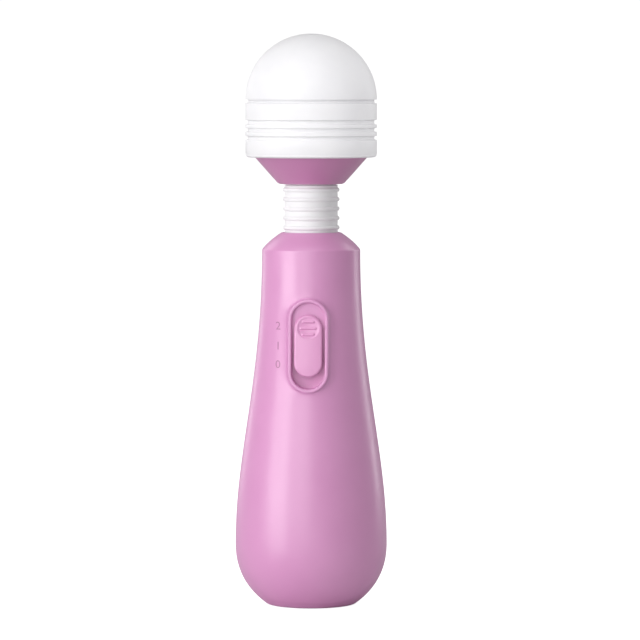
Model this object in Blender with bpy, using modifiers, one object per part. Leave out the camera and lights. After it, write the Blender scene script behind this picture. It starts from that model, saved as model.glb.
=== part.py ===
"""Handheld wand massager: a battery handle, a sprung neck and a vibrating head.

Sizes below are in millimetres and become metres where a mesh is made. +Z runs from the foot to the
head, the switch faces -Y, and the origin is the middle of the flat foot.
"""
import math

import bmesh
import bpy
from mathutils import Matrix, Vector

MM = 0.001
GAP = 0.3  # between pieces that touch, slide or are screwed together

# Handle casing
WALL = 2.0
FOOT_R = 15.4
BELLY_R = 26.6
BELLY_Z = 21.0
WAIST_R = 17.2
HANDLE_H = 124.6  # up to the crease where the shoulder starts
SHOULDER_H = 6.1
SHOULDER_TOP_R = 10.2
FLOOR_T = 2.5
RIB_T = 1.5
NECK_RIB_DROP = 5.0  # how far under the crease the rib that holds the neck socket starts
LIP_T = 2.5

# Switch, on the front of the handle
SWITCH_DROP = 32.7  # middle of the switch below the crease
BEZEL_W = 14.2
BEZEL_L = 32.4
RIM_T = 1.35
RIM_PROUD = 1.05
KNOB_W = 9.8
KNOB_L = 21.4
KNOB_PROUD = 0.3  # above the rim
RECESS_FLOOR_T = 2.0
STEM_W = 3.2
STEM_L = 4.4
DISH_R = 3.8
DISH_DEPTH = 0.6
DISH_RISE = 6.2
LEVER_T = 1.4

# Batteries
CELL_R = 7.25
CELL_L = 49.2
NUB_R = 2.7
NUB_L = 1.2
TRAY_Z = 7.0
TRAY_WALL = 1.5
TRAY_END_T = 2.5
CONTACT_T = 0.5
SPRING_L = 3.4

# Shell screws
BOSS_R = 2.8
SCREW_R = 1.25
SCREW_HEAD_R = 2.1
SCREW_HEAD_T = 1.6
LOWER_SCREW_Z = 38.0
UPPER_SCREW_DROP = 7.6

# Flexible neck
NECK_L = 16.8  # between the shoulder and the head collar
SLEEVE_R = 9.3
SLEEVE_RIB_R = 9.95
SLEEVE_BORE_R = 7.5
SLEEVE_RIBS = 5
COIL_WIRE_R = 0.6
COIL_TURNS = 8
SEAT_BORE_R = 3.5

# Head
COLLAR_H = 9.3
COLLAR_FLOOR_T = 1.8  # floor of the collar, round the sleeve
COLLAR_INSET = 3.35  # of the cone's top edge from the side of the cap
COLLAR_FOOT_R = 11.4
HEAD_R = 23.0
CAP_SIDE = 20.2  # straight side below the dome
CAP_T = 2.2
GROOVE_DEPTH = 0.9
CAP_GROOVES = ((18.9, 20.5), (11.5, 13.1), (8.9, 10.3), (6.1, 7.5))  # above the cap's lower edge
CORE_T = 2.0

# Motor
MOTOR_R = 12.0
MOTOR_L = 23.0
SHAFT_R = 1.0
BUSH_R = 2.7
BOOT_T = 1.7
WEIGHT_R = 9.0
WEIGHT_T = 6.0

WIRE_R = 0.7
ROUND = 32  # sides of a large round piece
SMALL_ROUND = 16

# Heights worked out from the sizes above
SHOULDER_TOP = HANDLE_H + SHOULDER_H
SWITCH_Z = HANDLE_H - SWITCH_DROP
COLLAR_Z = SHOULDER_TOP + NECK_L
CAP_Z = COLLAR_Z + COLLAR_H
COLLAR_TOP_R = HEAD_R - COLLAR_INSET
DOME_Z = CAP_Z + CAP_SIDE
NOD_Z = SHOULDER_TOP + NECK_L / 4
SWAY_Z = SHOULDER_TOP + NECK_L * 3 / 4
TRAY_TOP = TRAY_Z + 2 * TRAY_END_T + 2 * CONTACT_T + CELL_L + NUB_L + SPRING_L + 5 * GAP
CELL_X = CELL_R + GAP + TRAY_WALL / 2 - 0.15
UPPER_SCREW_Z = HANDLE_H - UPPER_SCREW_DROP

WAIST_CURVE = ((WAIST_R, HANDLE_H), (WAIST_R, 0.626 * HANDLE_H), (BELLY_R, 2.6 * BELLY_Z), (BELLY_R,
                                                                                            BELLY_Z))
FOOT_CURVE = ((BELLY_R, BELLY_Z), (BELLY_R, 0.46 * BELLY_Z), (FOOT_R + 5.0, 3.5), (FOOT_R, 0.0))


# ---------------------------------------------------------------- outlines

def bezier(ends, t):
    """Point at t on a cubic through four (radius, height) points."""
    weights = ((1 - t) ** 3, 3 * t * (1 - t) ** 2, 3 * t * t * (1 - t), t ** 3)
    return tuple(sum(w * p[k] for w, p in zip(weights, ends)) for k in (0, 1))


def skin_radius(z):
    """Outer radius of the casing at a height."""
    curve = WAIST_CURVE if z > BELLY_Z else FOOT_CURVE
    low, high = 0.0, 1.0
    for _ in range(40):
        middle = (low + high) / 2
        if bezier(curve, middle)[1] > z:
            low = middle
        else:
            high = middle
    return bezier(curve, low)[0]


def arc(centre, radius, start, end, steps):
    """Points on an arc in the profile plane, angles in degrees from +X."""
    angles = [math.radians(start + (end - start) * i / steps) for i in range(steps + 1)]
    return [(centre[0] + radius * math.cos(a), centre[1] + radius * math.sin(a)) for a in angles]


def inner_wall(low, high, steps):
    """Points up the inside of the casing between two heights."""
    heights = [low + (high - low) * i / steps for i in range(steps + 1)]
    return [(skin_radius(z) - WALL, z) for z in heights]


def inside_foot():
    """Points up the inside of the rounded foot, one wall in from the skin."""
    points = []
    for i in range(4, 0, -1):
        t = i / 5
        r, z = bezier(FOOT_CURVE, t)
        r2, z2 = bezier(FOOT_CURVE, t + 0.01)
        length = math.hypot(r2 - r, z2 - z)
        inset = (r + WALL * (z2 - z) / length, z - WALL * (r2 - r) / length)
        if inset[1] > FLOOR_T + 0.7:
            points.append(inset)
    return [(points[0][0] - 0.5, FLOOR_T)] + points


def rib(z, bore):
    """A ring-shaped rib standing in from the wall."""
    return [(bore, z), (bore, z + RIB_T)]


def casing_profile():
    """Up the inside from the middle of the floor, then down the outside."""
    foot_rib = FOOT_R - 0.5
    rib_top = TRAY_Z - GAP
    lip_z = SHOULDER_TOP - LIP_T
    low_rib = TRAY_TOP + GAP
    seat_rib = HANDLE_H - NECK_RIB_DROP
    inner = [(0, FLOOR_T), (foot_rib - RIB_T, FLOOR_T), (foot_rib - RIB_T, rib_top), (foot_rib, rib_top),
             (foot_rib, FLOOR_T)]
    inner += inside_foot()
    inner += inner_wall(BELLY_Z, low_rib, 4)
    inner += rib(low_rib, skin_radius(low_rib) - WALL - 3.0)
    inner += inner_wall(low_rib + RIB_T, seat_rib, 3)
    inner += rib(seat_rib, skin_radius(seat_rib) - WALL - 3.0)
    inner += inner_wall(seat_rib + RIB_T, HANDLE_H - 1.0, 1)
    inner += [(SLEEVE_R + 2.0, lip_z), (SLEEVE_R + GAP, lip_z)]
    shoulder = [bezier(((SHOULDER_TOP_R, SHOULDER_TOP), (SHOULDER_TOP_R + 2.6, SHOULDER_TOP - 1.6),
                        (WAIST_R - 1.6, HANDLE_H + 2.2), (WAIST_R, HANDLE_H)), i / 4) for i in range(4)]
    side = [bezier(WAIST_CURVE, i / 10) for i in range(10)]
    foot = [bezier(FOOT_CURVE, i / 6) for i in range(7)]
    return inner + [(SLEEVE_R + GAP, SHOULDER_TOP)] + shoulder + side + foot + [(0, 0)]


def tray_radius():
    """Radius of the battery tray: as large as the shells leave at its top and its foot."""
    return min(skin_radius(TRAY_TOP) - WALL, skin_radius(TRAY_Z) - 1.4 * WALL) - GAP


# ---------------------------------------------------------------- making pieces

def clear_scene():
    for item in list(bpy.data.objects):
        bpy.data.objects.remove(item, do_unlink=True)


def new_collection(name):
    made = bpy.data.collections.new(name)
    bpy.context.scene.collection.children.link(made)
    return made


def finish(name, colour, roughness, metallic=0.0):
    """A plain material from a linear colour."""
    made = bpy.data.materials.new(name)
    made.use_nodes = True
    shader = made.node_tree.nodes["Principled BSDF"]
    shader.inputs["Base Color"].default_value = (*colour, 1.0)
    shader.inputs["Roughness"].default_value = roughness
    shader.inputs["Metallic"].default_value = metallic
    return made


def add_object(name, data, cutter=False):
    made = bpy.data.objects.new(name, data)
    (CUTTERS if cutter else PARTS).objects.link(made)
    if cutter:
        made.hide_render = True
        made.display_type = "WIRE"
    return made


def turned(name, profile, sides=ROUND, cutter=False):
    """A solid of revolution about Z. A profile that starts off the axis is a closed ring."""
    ring = profile[0][0] > 0
    mesh = bpy.data.meshes.new(name)
    edges = [(i, i + 1) for i in range(len(profile) - 1)]
    if ring:
        edges.append((len(profile) - 1, 0))
    mesh.from_pydata([(r * MM, 0, z * MM) for r, z in profile], edges, [])
    made = add_object(name, mesh, cutter)
    screw = made.modifiers.new("turn", "SCREW")
    screw.angle = 2 * math.pi
    screw.steps = sides
    screw.render_steps = sides
    screw.use_merge_vertices = True
    screw.merge_threshold = 0.00001
    screw.use_smooth_shade = False
    return made


def block(name, low, high, cutter=False, bevel=0.0):
    """A box between two corners."""
    mesh = bpy.data.meshes.new(name)
    shape = bmesh.new()
    bmesh.ops.create_cube(shape, size=1.0)
    size = [(b - a) * MM for a, b in zip(low, high)]
    centre = [(a + b) / 2 * MM for a, b in zip(low, high)]
    bmesh.ops.transform(shape, matrix=Matrix.Translation(centre) @ Matrix.Diagonal((*size, 1)),
                        verts=shape.verts)
    shape.to_mesh(mesh)
    shape.free()
    made = add_object(name, mesh, cutter)
    if bevel:
        rounding = made.modifiers.new("edges", "BEVEL")
        rounding.width = bevel * MM
        rounding.segments = 2
    return made


def round_bar(name, radius, start, end, sides=SMALL_ROUND, cutter=False):
    """A cylinder between two points."""
    axis = Vector(end) - Vector(start)
    middle = (Vector(end) + Vector(start)) / 2 * MM
    turn = axis.to_track_quat("Z", "Y").to_matrix().to_4x4()
    mesh = bpy.data.meshes.new(name)
    shape = bmesh.new()
    bmesh.ops.create_cone(shape, cap_ends=True, segments=sides, radius1=radius * MM, radius2=radius * MM,
                          depth=axis.length * MM)
    bmesh.ops.transform(shape, matrix=Matrix.Translation(middle) @ turn, verts=shape.verts)
    shape.to_mesh(mesh)
    shape.free()
    return add_object(name, mesh, cutter)


def stadium(name, width, length, near, far, z, cutter=False):
    """A slot-shaped bar along Y between two depths, its long side upright, as a mesh."""
    half = (length - width) / 2
    outline = arc((0, half), width / 2, 0, 180, 10) + arc((0, -half), width / 2, 180, 360, 10)
    curve = bpy.data.curves.new(name, "CURVE")
    curve.dimensions = "2D"
    curve.fill_mode = "BOTH"
    curve.extrude = abs(far - near) / 2 * MM
    spline = curve.splines.new("POLY")
    spline.points.add(len(outline) - 1)
    for point, (x, y) in zip(spline.points, outline):
        point.co = (x * MM, y * MM, 0, 1)
    spline.use_cyclic_u = True
    guide = add_object(name + "_outline", curve, cutter=True)
    guide.matrix_world = Matrix.Translation((0, (near + far) / 2 * MM,
                                             z * MM)) @ Matrix.Rotation(math.pi / 2, 4, "X")
    return as_mesh(guide, name, cutter)


def as_mesh(guide, name, cutter=False):
    """Turns a curve object into a welded mesh object in the same place, and removes the curve."""
    bpy.context.view_layer.update()
    graph = bpy.context.evaluated_depsgraph_get()
    mesh = bpy.data.meshes.new_from_object(guide.evaluated_get(graph))
    mesh.transform(guide.matrix_world)
    shape = bmesh.new()
    shape.from_mesh(mesh)
    bmesh.ops.remove_doubles(shape, verts=shape.verts, dist=0.000005)
    bmesh.ops.recalc_face_normals(shape, faces=shape.faces)
    shape.to_mesh(mesh)
    shape.free()
    bpy.data.objects.remove(guide, do_unlink=True)
    return add_object(name, mesh, cutter)


def wire(name, points, radius, resolution=1):
    """A round wire along a list of points."""
    curve = bpy.data.curves.new(name, "CURVE")
    curve.dimensions = "3D"
    curve.bevel_depth = radius * MM
    curve.bevel_resolution = resolution
    curve.use_fill_caps = True
    spline = curve.splines.new("POLY")
    spline.points.add(len(points) - 1)
    for point, place in zip(spline.points, points):
        point.co = (*[v * MM for v in place], 1)
    return add_object(name, curve)


def smooth_route(knots, steps):
    """Points on a smooth curve through a few chosen ones (Catmull-Rom)."""
    knots = [Vector(k) for k in knots]
    knots = [2 * knots[0] - knots[1]] + knots + [2 * knots[-1] - knots[-2]]
    route = []
    for a, b, c, d in zip(knots, knots[1:], knots[2:], knots[3:]):
        for i in range(steps):
            t = i / steps
            route.append(0.5 * (2 * b + (c - a) * t + (2 * a - 5 * b + 4 * c - d) * t * t
                                + (3 * b - a - 3 * c + d) * t ** 3))
    return route + [knots[-2]]


def coil(radius, low, high, turns, steps=8, centre=(0, 0), top_radius=None):
    """Points on a helix about an upright axis."""
    top = radius if top_radius is None else top_radius
    count = int(turns * steps)
    points = []
    for i in range(count + 1):
        share = i / count
        r = radius + (top - radius) * share
        a = 2 * math.pi * i / steps
        points.append((centre[0] + r * math.cos(a), centre[1] + r * math.sin(a),
                       low + (high - low) * share))
    return points


def combine(target, other, operation):
    step = target.modifiers.new(operation.lower(), "BOOLEAN")
    step.operation = operation
    step.object = other


def cut(target, *others):
    for other in others:
        combine(target, other, "DIFFERENCE")


def join(target, *others):
    for other in others:
        combine(target, other, "UNION")


def keep_inside(target, other):
    combine(target, other, "INTERSECT")


# ---------------------------------------------------------------- handle

def casing_core():
    """The casing's outline a little under its skin, to trim bosses that reach the wall."""
    inset = WALL / 2
    side = [bezier(WAIST_CURVE, i / 10) for i in range(11)]
    foot = [bezier(FOOT_CURVE, i / 6) for i in range(1, 6)]
    profile = [(0, HANDLE_H + 1)] + [(r - inset, z + 0.3) for r, z in side + foot] + [(0, 1.5)]
    return turned("casing_core", profile, cutter=True)


def rim_plane(name, lift):
    """A block that trims everything further out than the sloping plane of the bezel's rim."""
    top, foot = SWITCH_Z + BEZEL_L / 2, SWITCH_Z - BEZEL_L / 2
    slope = math.atan2(skin_radius(foot) - skin_radius(top), BEZEL_L)
    reach = (skin_radius(foot) + skin_radius(top)) / 2 + RIM_PROUD + lift
    trimmer = block(name, (-20, -20, -40), (20, 0, 40), cutter=True)
    trimmer.data.transform(Matrix.Translation((0, -reach * MM, SWITCH_Z * MM)) @ Matrix.Rotation(-slope,
                                                                                                 4, "X"))
    return trimmer


def switch_depths():
    """Depths from the axis of the recess floor and of what is stacked behind it."""
    floor = skin_radius(SWITCH_Z + BEZEL_L / 2) + 0.1
    slider = floor - RECESS_FLOOR_T - GAP
    can = slider - 5.1
    base = can - 4.5 - GAP
    board = base - 1.2 - GAP
    return {"floor": floor, "slider": slider, "can": can, "base": base, "board": board}


def shell_screw_places():
    """(x, z) of the screws that join the shells, one pair near the belly and one near the shoulder."""
    tray_side = CELL_X + CELL_R + GAP + TRAY_WALL
    low_x = max(skin_radius(LOWER_SCREW_Z) - WALL - BOSS_R - 0.4, tray_side + GAP + BOSS_R + 0.5)
    high_x = skin_radius(UPPER_SCREW_Z) - WALL - BOSS_R - 1.5
    return [("lower", low_x, LOWER_SCREW_Z), ("upper", high_x, UPPER_SCREW_Z)]


def half_casing(name, side):
    shell = turned(name, casing_profile())
    reach = 2 * BELLY_R
    low, high = (-reach, GAP / 2) if side > 0 else (-reach, -reach)
    top = GAP / 2 + reach if side > 0 else -GAP / 2
    keep_inside(shell, block(name + "_half", (low, high, -5), (reach, top, SHOULDER_TOP + 5), cutter=True))
    return shell


def front_shell():
    depth = switch_depths()
    shell = half_casing("front_shell", -1)
    bezel = stadium("bezel", BEZEL_W, BEZEL_L, -depth["slider"], -BELLY_R - 3, SWITCH_Z, cutter=True)
    cut(bezel, rim_plane("rim_trim", 0.0))
    join(shell, bezel)
    for row, x, z in shell_screw_places():
        for side, hand in (("left", -1), ("right", 1)):
            label = f"{row}_{side}_front_boss"
            boss = round_bar(label, BOSS_R, (hand * x, -BELLY_R, z), (hand * x, -GAP / 2 - 0.05, z),
                             cutter=True)
            keep_inside(boss, CORE)
            hole = round_bar(label + "_hole", SCREW_R + GAP, (hand * x, -9.0, z), (hand * x, 1, z), 12,
                             cutter=True)
            join(shell, boss)
            cut(shell, hole)
    for label, z in board_posts():
        post = round_bar(label, 2.3, (0, -BELLY_R, z), (0, -depth["board"] - GAP, z), cutter=True)
        keep_inside(post, CORE)
        join(shell, post)
        cut(shell, round_bar(label + "_hole", 1.0 + GAP, (0, -depth["board"] - 8, z), (0, 0, z), 12,
                             cutter=True))
    half_slot = STEM_L / 2 + knob_travel() + GAP
    recess = stadium("recess", BEZEL_W - 2 * RIM_T, BEZEL_L - 2 * RIM_T + 0.3, -depth["floor"],
                     -BELLY_R - 5,
                     SWITCH_Z, cutter=True)
    slot = block("stem_slot", (-STEM_W / 2 - GAP, -depth["floor"] - 1, SWITCH_Z - half_slot),
                 (STEM_W / 2 + GAP, -2, SWITCH_Z + half_slot), cutter=True)
    half_pocket = slider_length() / 2 + knob_travel() + GAP
    pocket = block("slider_pocket", (-5.0, -depth["slider"] - GAP, SWITCH_Z - half_pocket),
                   (5.0, -depth["board"], SWITCH_Z + half_pocket), cutter=True)
    cut(shell, recess, slot, pocket)
    return shell


def board_posts():
    half_pocket = slider_length() / 2 + knob_travel() + GAP
    return [("lower_board_post", SWITCH_Z - half_pocket - 3.0), ("upper_board_post",
                                                                 SWITCH_Z + half_pocket + 3.0)]


def rear_shell():
    shell = half_casing("rear_shell", 1)
    for row, x, z in shell_screw_places():
        for side, hand in (("left", -1), ("right", 1)):
            label = f"{row}_{side}_rear_boss"
            boss = round_bar(label, BOSS_R + 0.5, (hand * x, GAP / 2 + 0.05, z), (hand * x, BELLY_R, z),
                             cutter=True)
            keep_inside(boss, CORE)
            join(shell, boss)
            cut(shell, round_bar(label + "_bore", SCREW_R + GAP, (hand * x, -2, z), (hand * x, 6, z), 12,
                                 cutter=True))
            cut(shell, round_bar(label + "_sink", SCREW_HEAD_R + GAP, (hand * x, 4, z), (hand * x,
                                                                                         BELLY_R + 2, z),
                                 16, cutter=True))
    cut(shell, door_block("door_opening", GAP))
    return shell


def door_foot():
    """Height of the battery door's lower edge."""
    return TRAY_Z + TRAY_END_T + 2.2


def door_block(name, margin):
    """The space of the battery door, which is as tall as a cell needs."""
    half = CELL_X + CELL_R + 0.2 + margin
    low = door_foot() - margin
    high = door_foot() + CELL_L + 4 + margin
    return block(name, (-half, 6, low), (half, 2 * BELLY_R, high), cutter=True)


def battery_door():
    door = turned("battery_door", casing_profile())
    keep_inside(door, door_block("door_trim", 0.0))
    low = door_foot()
    skin = skin_radius(low)
    face = skin_radius(low - 1.2) - 1.25 * WALL - 2 * GAP
    hook = block("door_hook", (-4, face - 1.6, low - 1.2), (4, face, low + 2), cutter=True)
    web = block("door_hook_web", (-4, face - 0.8, low + 0.6), (4, skin - 0.6, low + 2), cutter=True)
    join(door, hook, web)
    return door


def shell_screws():
    for row, x, z in shell_screw_places():
        for side, hand in (("left", -1), ("right", 1)):
            name = f"shell_screw_{row}_{side}"
            make_screw(name, (hand * x, 4.0 + GAP, z), SCREW_R, 12.0, SCREW_HEAD_R, SCREW_HEAD_T)


def make_screw(name, seat, radius, length, head_radius, head_t):
    """A pan-head screw driven towards -Y. The seat is the place under its head."""
    x, y, z = seat
    profile = [(0, 0), (head_radius * 0.6, 0), (head_radius, -head_t * 0.45), (head_radius, -head_t),
               (radius, -head_t), (radius, -head_t - length + 1.2), (0, -head_t - length)]
    screw = turned(name, profile, 12)
    screw.location = (x * MM, (y + head_t) * MM, z * MM)
    screw.rotation_euler = (-math.pi / 2, 0, 0)
    return screw


# ---------------------------------------------------------------- switch

def knob_travel():
    """How far the knob slides each way from the middle before its gap to the recess is used up."""
    return (BEZEL_L - 2 * RIM_T - KNOB_L) / 2 - GAP


def slider_length():
    return STEM_L + 2 * knob_travel() + 2 * 4.0


def switch_knob():
    depth = switch_depths()
    face = depth["floor"] + GAP
    knob = stadium("switch_knob", KNOB_W, KNOB_L, -face, -BELLY_R - 3, SWITCH_Z)
    cut(knob, rim_plane("knob_trim", KNOB_PROUD))
    stem = block("knob_stem", (-STEM_W / 2, -face - 0.4, SWITCH_Z - STEM_L / 2),
                 (STEM_W / 2, -depth["can"] - 1.8, SWITCH_Z + STEM_L / 2), cutter=True)
    fork = block("knob_fork", (-STEM_W, -depth["can"] - 3.0, SWITCH_Z - LEVER_T / 2 - GAP),
                 (STEM_W, -depth["can"], SWITCH_Z + LEVER_T / 2 + GAP), cutter=True)
    dish_z = SWITCH_Z + DISH_RISE
    ball = (DISH_R ** 2 + DISH_DEPTH ** 2) / (2 * DISH_DEPTH)
    surface = skin_radius(dish_z) + RIM_PROUD + KNOB_PROUD
    dish = turned("knob_dish", arc((0, 0), ball, 90, -90, 24), 32, cutter=True)
    dish.location = (0, -(surface + ball - DISH_DEPTH) * MM, dish_z * MM)
    join(knob, stem)
    cut(knob, fork, dish)
    return knob


def switch_slider():
    """The plate behind the recess floor that keeps the slot covered."""
    depth = switch_depths()
    half = slider_length() / 2
    plate = block("slider_plate", (-4.6, -depth["slider"], SWITCH_Z - half),
                  (4.6, -depth["slider"] + 1.2, SWITCH_Z + half), bevel=0.3)
    hole = block("slider_hole", (-STEM_W / 2 - GAP, -BELLY_R, SWITCH_Z - STEM_L / 2 - GAP),
                 (STEM_W / 2 + GAP, 0, SWITCH_Z + STEM_L / 2 + GAP), cutter=True)
    cut(plate, hole)
    return plate


def switch_lever():
    """The switch's own lever: a contact foot inside the can, and a tip in the knob's fork."""
    front = switch_depths()["can"]
    foot = block("switch_lever", (-2.6, -front + 0.5 + GAP, SWITCH_Z - 2.2), (2.6, -front + 2.2,
                                                                              SWITCH_Z + 2.2))
    tip = block("lever_tip", (-1.3, -front - 2.6, SWITCH_Z - LEVER_T / 2),
                (1.3, -front + 1.5, SWITCH_Z + LEVER_T / 2), cutter=True)
    join(foot, tip)
    return foot


def switch_can():
    """The folded steel case of the slide switch, open at its back."""
    front = switch_depths()["can"]
    half = LEVER_T / 2 + knob_travel() + 4.6
    can = block("switch_can", (-3.6, -front, SWITCH_Z - half), (3.6, -front + 4.5, SWITCH_Z + half),
                bevel=0.3)
    hollow = block("can_hollow", (-3.1, -front + 0.5, SWITCH_Z - half + 0.5),
                   (3.1, -front + 6, SWITCH_Z + half - 0.5), cutter=True)
    slot = LEVER_T / 2 + knob_travel() + GAP
    mouth = block("can_slot", (-1.6, -front - 1, SWITCH_Z - slot), (1.6, -front + 1, SWITCH_Z + slot),
                  cutter=True)
    cut(can, hollow, mouth)
    return can


def switch_base():
    """The laminate plate that closes the back of the slide switch."""
    back = switch_depths()["base"]
    half = LEVER_T / 2 + knob_travel() + 4.6
    return block("switch_base", (-3.6, -back, SWITCH_Z - half), (3.6, -back + 1.2, SWITCH_Z + half))


def switch_board():
    front = switch_depths()["board"]
    posts = board_posts()
    board = block("switch_board", (-7, -front, posts[0][1] - 3.5), (7, -front + 1.6, posts[1][1] + 3.5))
    for label, z in posts:
        cut(board, round_bar(label + "_board_hole", 1.0 + GAP, (0, -front - 2, z), (0, 6, z), 12,
                             cutter=True))
        make_screw(label.replace("post", "screw"), (0, -front + 1.6 + GAP, z), 1.0, 7.0, 1.9, 1.3)
    block("speed_resistor", (-4.5, -front + 1.6 + GAP, SWITCH_Z - 1.6), (4.5, -front + 4.8 + GAP,
                                                                         SWITCH_Z + 1.6),
          bevel=1.0)
    return board


# ---------------------------------------------------------------- batteries

def cell_places():
    """(name, x, y, sign) of the four cells. The sign is +1 with the nub up."""
    return [("front_left", -1, -1, 1), ("front_right", 1, -1, -1), ("rear_right", 1, 1, 1), ("rear_left",
                                                                                             -1, 1, -1)]


def bay_bottom():
    return TRAY_Z + TRAY_END_T


def bay_top():
    return TRAY_TOP - TRAY_END_T


def battery_tray():
    """A round-sided tray, open at the back, with a wall between the two columns of cells."""
    tray = turned("battery_tray", [(0, TRAY_TOP), (tray_radius(), TRAY_TOP), (tray_radius(), TRAY_Z), (0,
                                                                                                       TRAY_Z)])
    outer_x = CELL_X + CELL_R + GAP
    reach = BELLY_R
    keep_inside(tray, block("tray_sides", (-outer_x - TRAY_WALL, -reach, 0),
                            (outer_x + TRAY_WALL, tray_radius() - 3.5, TRAY_TOP + 5), cutter=True))
    inner_x = CELL_X - CELL_R - GAP
    for hand in (-1, 1):
        low_x, high_x = sorted((hand * inner_x, hand * outer_x))
        bay = block(f"cell_bay_{hand}", (low_x, -CELL_X, bay_bottom()), (high_x, reach, bay_top()),
                    cutter=True)
        round_end = round_bar(f"cell_round_{hand}", CELL_R + GAP, (hand * CELL_X, -CELL_X, bay_bottom()),
                              (hand * CELL_X, -CELL_X, bay_top()), 24, cutter=True)
        join(bay, round_end)
        cut(tray, bay)
    gate = block("bridge_gate", (-3, CELL_X - 5, bay_bottom() - 0.01),
                 (3, reach, bay_bottom() + CONTACT_T + 3 * GAP), cutter=True)
    cut(tray, gate)
    return tray


def battery_cells():
    foot = bay_bottom() + CONTACT_T + 2 * GAP
    head = bay_top() - CONTACT_T - 2 * GAP
    for name, side, depth, sign in cell_places():
        x, y = side * CELL_X, depth * CELL_X
        profile = [(0, CELL_L + NUB_L), (NUB_R, CELL_L + NUB_L), (NUB_R, CELL_L), (CELL_R - 0.7, CELL_L),
                   (CELL_R, CELL_L - 0.7), (CELL_R, 0.7), (CELL_R - 0.7, 0), (0, 0)]
        cell = turned("cell_" + name, profile, 16)
        base = head - CELL_L - NUB_L if sign > 0 else foot + CELL_L + NUB_L
        cell.location = (x * MM, y * MM, base * MM)
        cell.rotation_euler = (0, 0 if sign > 0 else math.pi, 0)
        low, high = (foot, base - GAP) if sign > 0 else (base + GAP, head)
        near, far = (low, high) if sign > 0 else (high, low)
        radius = COIL_WIRE_R / 2
        inset = radius + 0.05
        step = inset if far > near else -inset
        wire("contact_spring_" + name, coil(5.0, near + step, far - step, 3, 8, (x, y), 2.6), radius)


def contact_plates():
    """Nickel plates that join the cells in series, and the two ends of the chain."""
    half = 4.2
    top = bay_top() - GAP
    low = bay_bottom() + GAP
    for name, side in (("left", -1), ("right", 1)):
        block(f"contact_plate_top_{name}", (side * CELL_X - half, -CELL_X - half, top - CONTACT_T),
              (side * CELL_X + half, CELL_X + half, top))
        block(f"contact_plate_end_{name}", (side * CELL_X - half, -CELL_X - half, low),
              (side * CELL_X + half, -CELL_X + half, low + CONTACT_T))
    block("contact_plate_bridge", (-CELL_X - half, CELL_X - half, low), (CELL_X + half, CELL_X + half,
                                                                         low + CONTACT_T))


# ---------------------------------------------------------------- neck

def neck_socket():
    """The lower spring seat, trapped between a rib of the shells and the sleeve's flange."""
    rib_top = HANDLE_H - NECK_RIB_DROP + RIB_T
    flange = min(skin_radius(HANDLE_H) - WALL - 0.7, SLEEVE_R + 5.2)
    seat = sleeve_foot() - GAP
    profile = [(coil_radius() - 1.4, seat + 4.0), (coil_radius() - 1.4, seat), (SLEEVE_R + 1.2, seat),
               (SLEEVE_R + 1.2, rib_top + 2.3),
               (flange, rib_top + 2.3), (flange, rib_top + GAP), (SEAT_BORE_R, rib_top + GAP),
               (SEAT_BORE_R, seat + 4.0)]
    return turned("neck_socket", profile, 24)


def coil_radius():
    """Mean radius of the neck spring, which slides inside the sleeve."""
    return SLEEVE_BORE_R - GAP - COIL_WIRE_R


def sleeve_foot():
    return SHOULDER_TOP - LIP_T - GAP - 2.2


def sleeve_head():
    return COLLAR_Z + COLLAR_FLOOR_T + GAP + 1.3


def neck_sleeve():
    """Soft ribbed sleeve with a flange at each end, inside the shoulder and inside the collar."""
    lip = SHOULDER_TOP - LIP_T - GAP
    hole = SLEEVE_R - 0.5
    floor = COLLAR_Z + COLLAR_FLOOR_T + GAP
    pitch = NECK_L / (SLEEVE_RIBS + 0.08)
    profile = [(SLEEVE_BORE_R, sleeve_head()), (hole + 1.5, sleeve_head()), (hole + 1.5, floor), (hole,
                                                                                                  floor),
               (hole, COLLAR_Z - GAP), (SLEEVE_R - 0.1, COLLAR_Z - GAP)]
    for i in range(SLEEVE_RIBS):
        z = COLLAR_Z - 2.0 - i * pitch
        profile += [(SLEEVE_R + 0.15, z + 0.85), (SLEEVE_RIB_R, z + 0.45), (SLEEVE_RIB_R, z - 0.45),
                    (SLEEVE_R + 0.15, z - 0.85)]
    profile += [(SLEEVE_R, SHOULDER_TOP + 0.5), (SLEEVE_R, lip), (SLEEVE_R + 1.7, lip), (SLEEVE_R + 1.7,
                                                                                         sleeve_foot()),
                (SLEEVE_BORE_R, sleeve_foot())]
    return turned("neck_sleeve", profile, 20)


def neck_spring():
    low = sleeve_foot() + COIL_WIRE_R + 0.1
    high = upper_seat_z() - GAP - COIL_WIRE_R - 0.1
    return wire("neck_spring", coil(coil_radius(), low, high, COIL_TURNS), COIL_WIRE_R)


def upper_seat_z():
    return sleeve_head() + GAP


def upper_spring_seat():
    low = upper_seat_z()
    flange = SLEEVE_R + 1.6
    profile = [(SEAT_BORE_R, low + 1.8), (flange, low + 1.8), (flange, low), (coil_radius() - 1.4, low),
               (coil_radius() - 1.4, low - 4.0), (SEAT_BORE_R, low - 4.0)]
    return turned("upper_spring_seat", profile, 24)


def motor_leads():
    board = board_posts()[1][1]
    depth = switch_depths()["board"]
    for name, side in (("red", -1), ("black", 1)):
        knots = [(side * 4.5, -depth + 2.9, board - 2), (side * 3.4, -0.5, board + 6),
                 (side * 1.3, 0, sleeve_foot() - 4), (side * 1.3, 0, NOD_Z), (side * 1.3, 0, SWAY_Z),
                 (side * 1.6, 0, upper_seat_z()), (side * 3.4, 0, upper_seat_z() + 2.6)]
        wire("motor_lead_" + name, smooth_route(knots, 3), WIRE_R)


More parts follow.
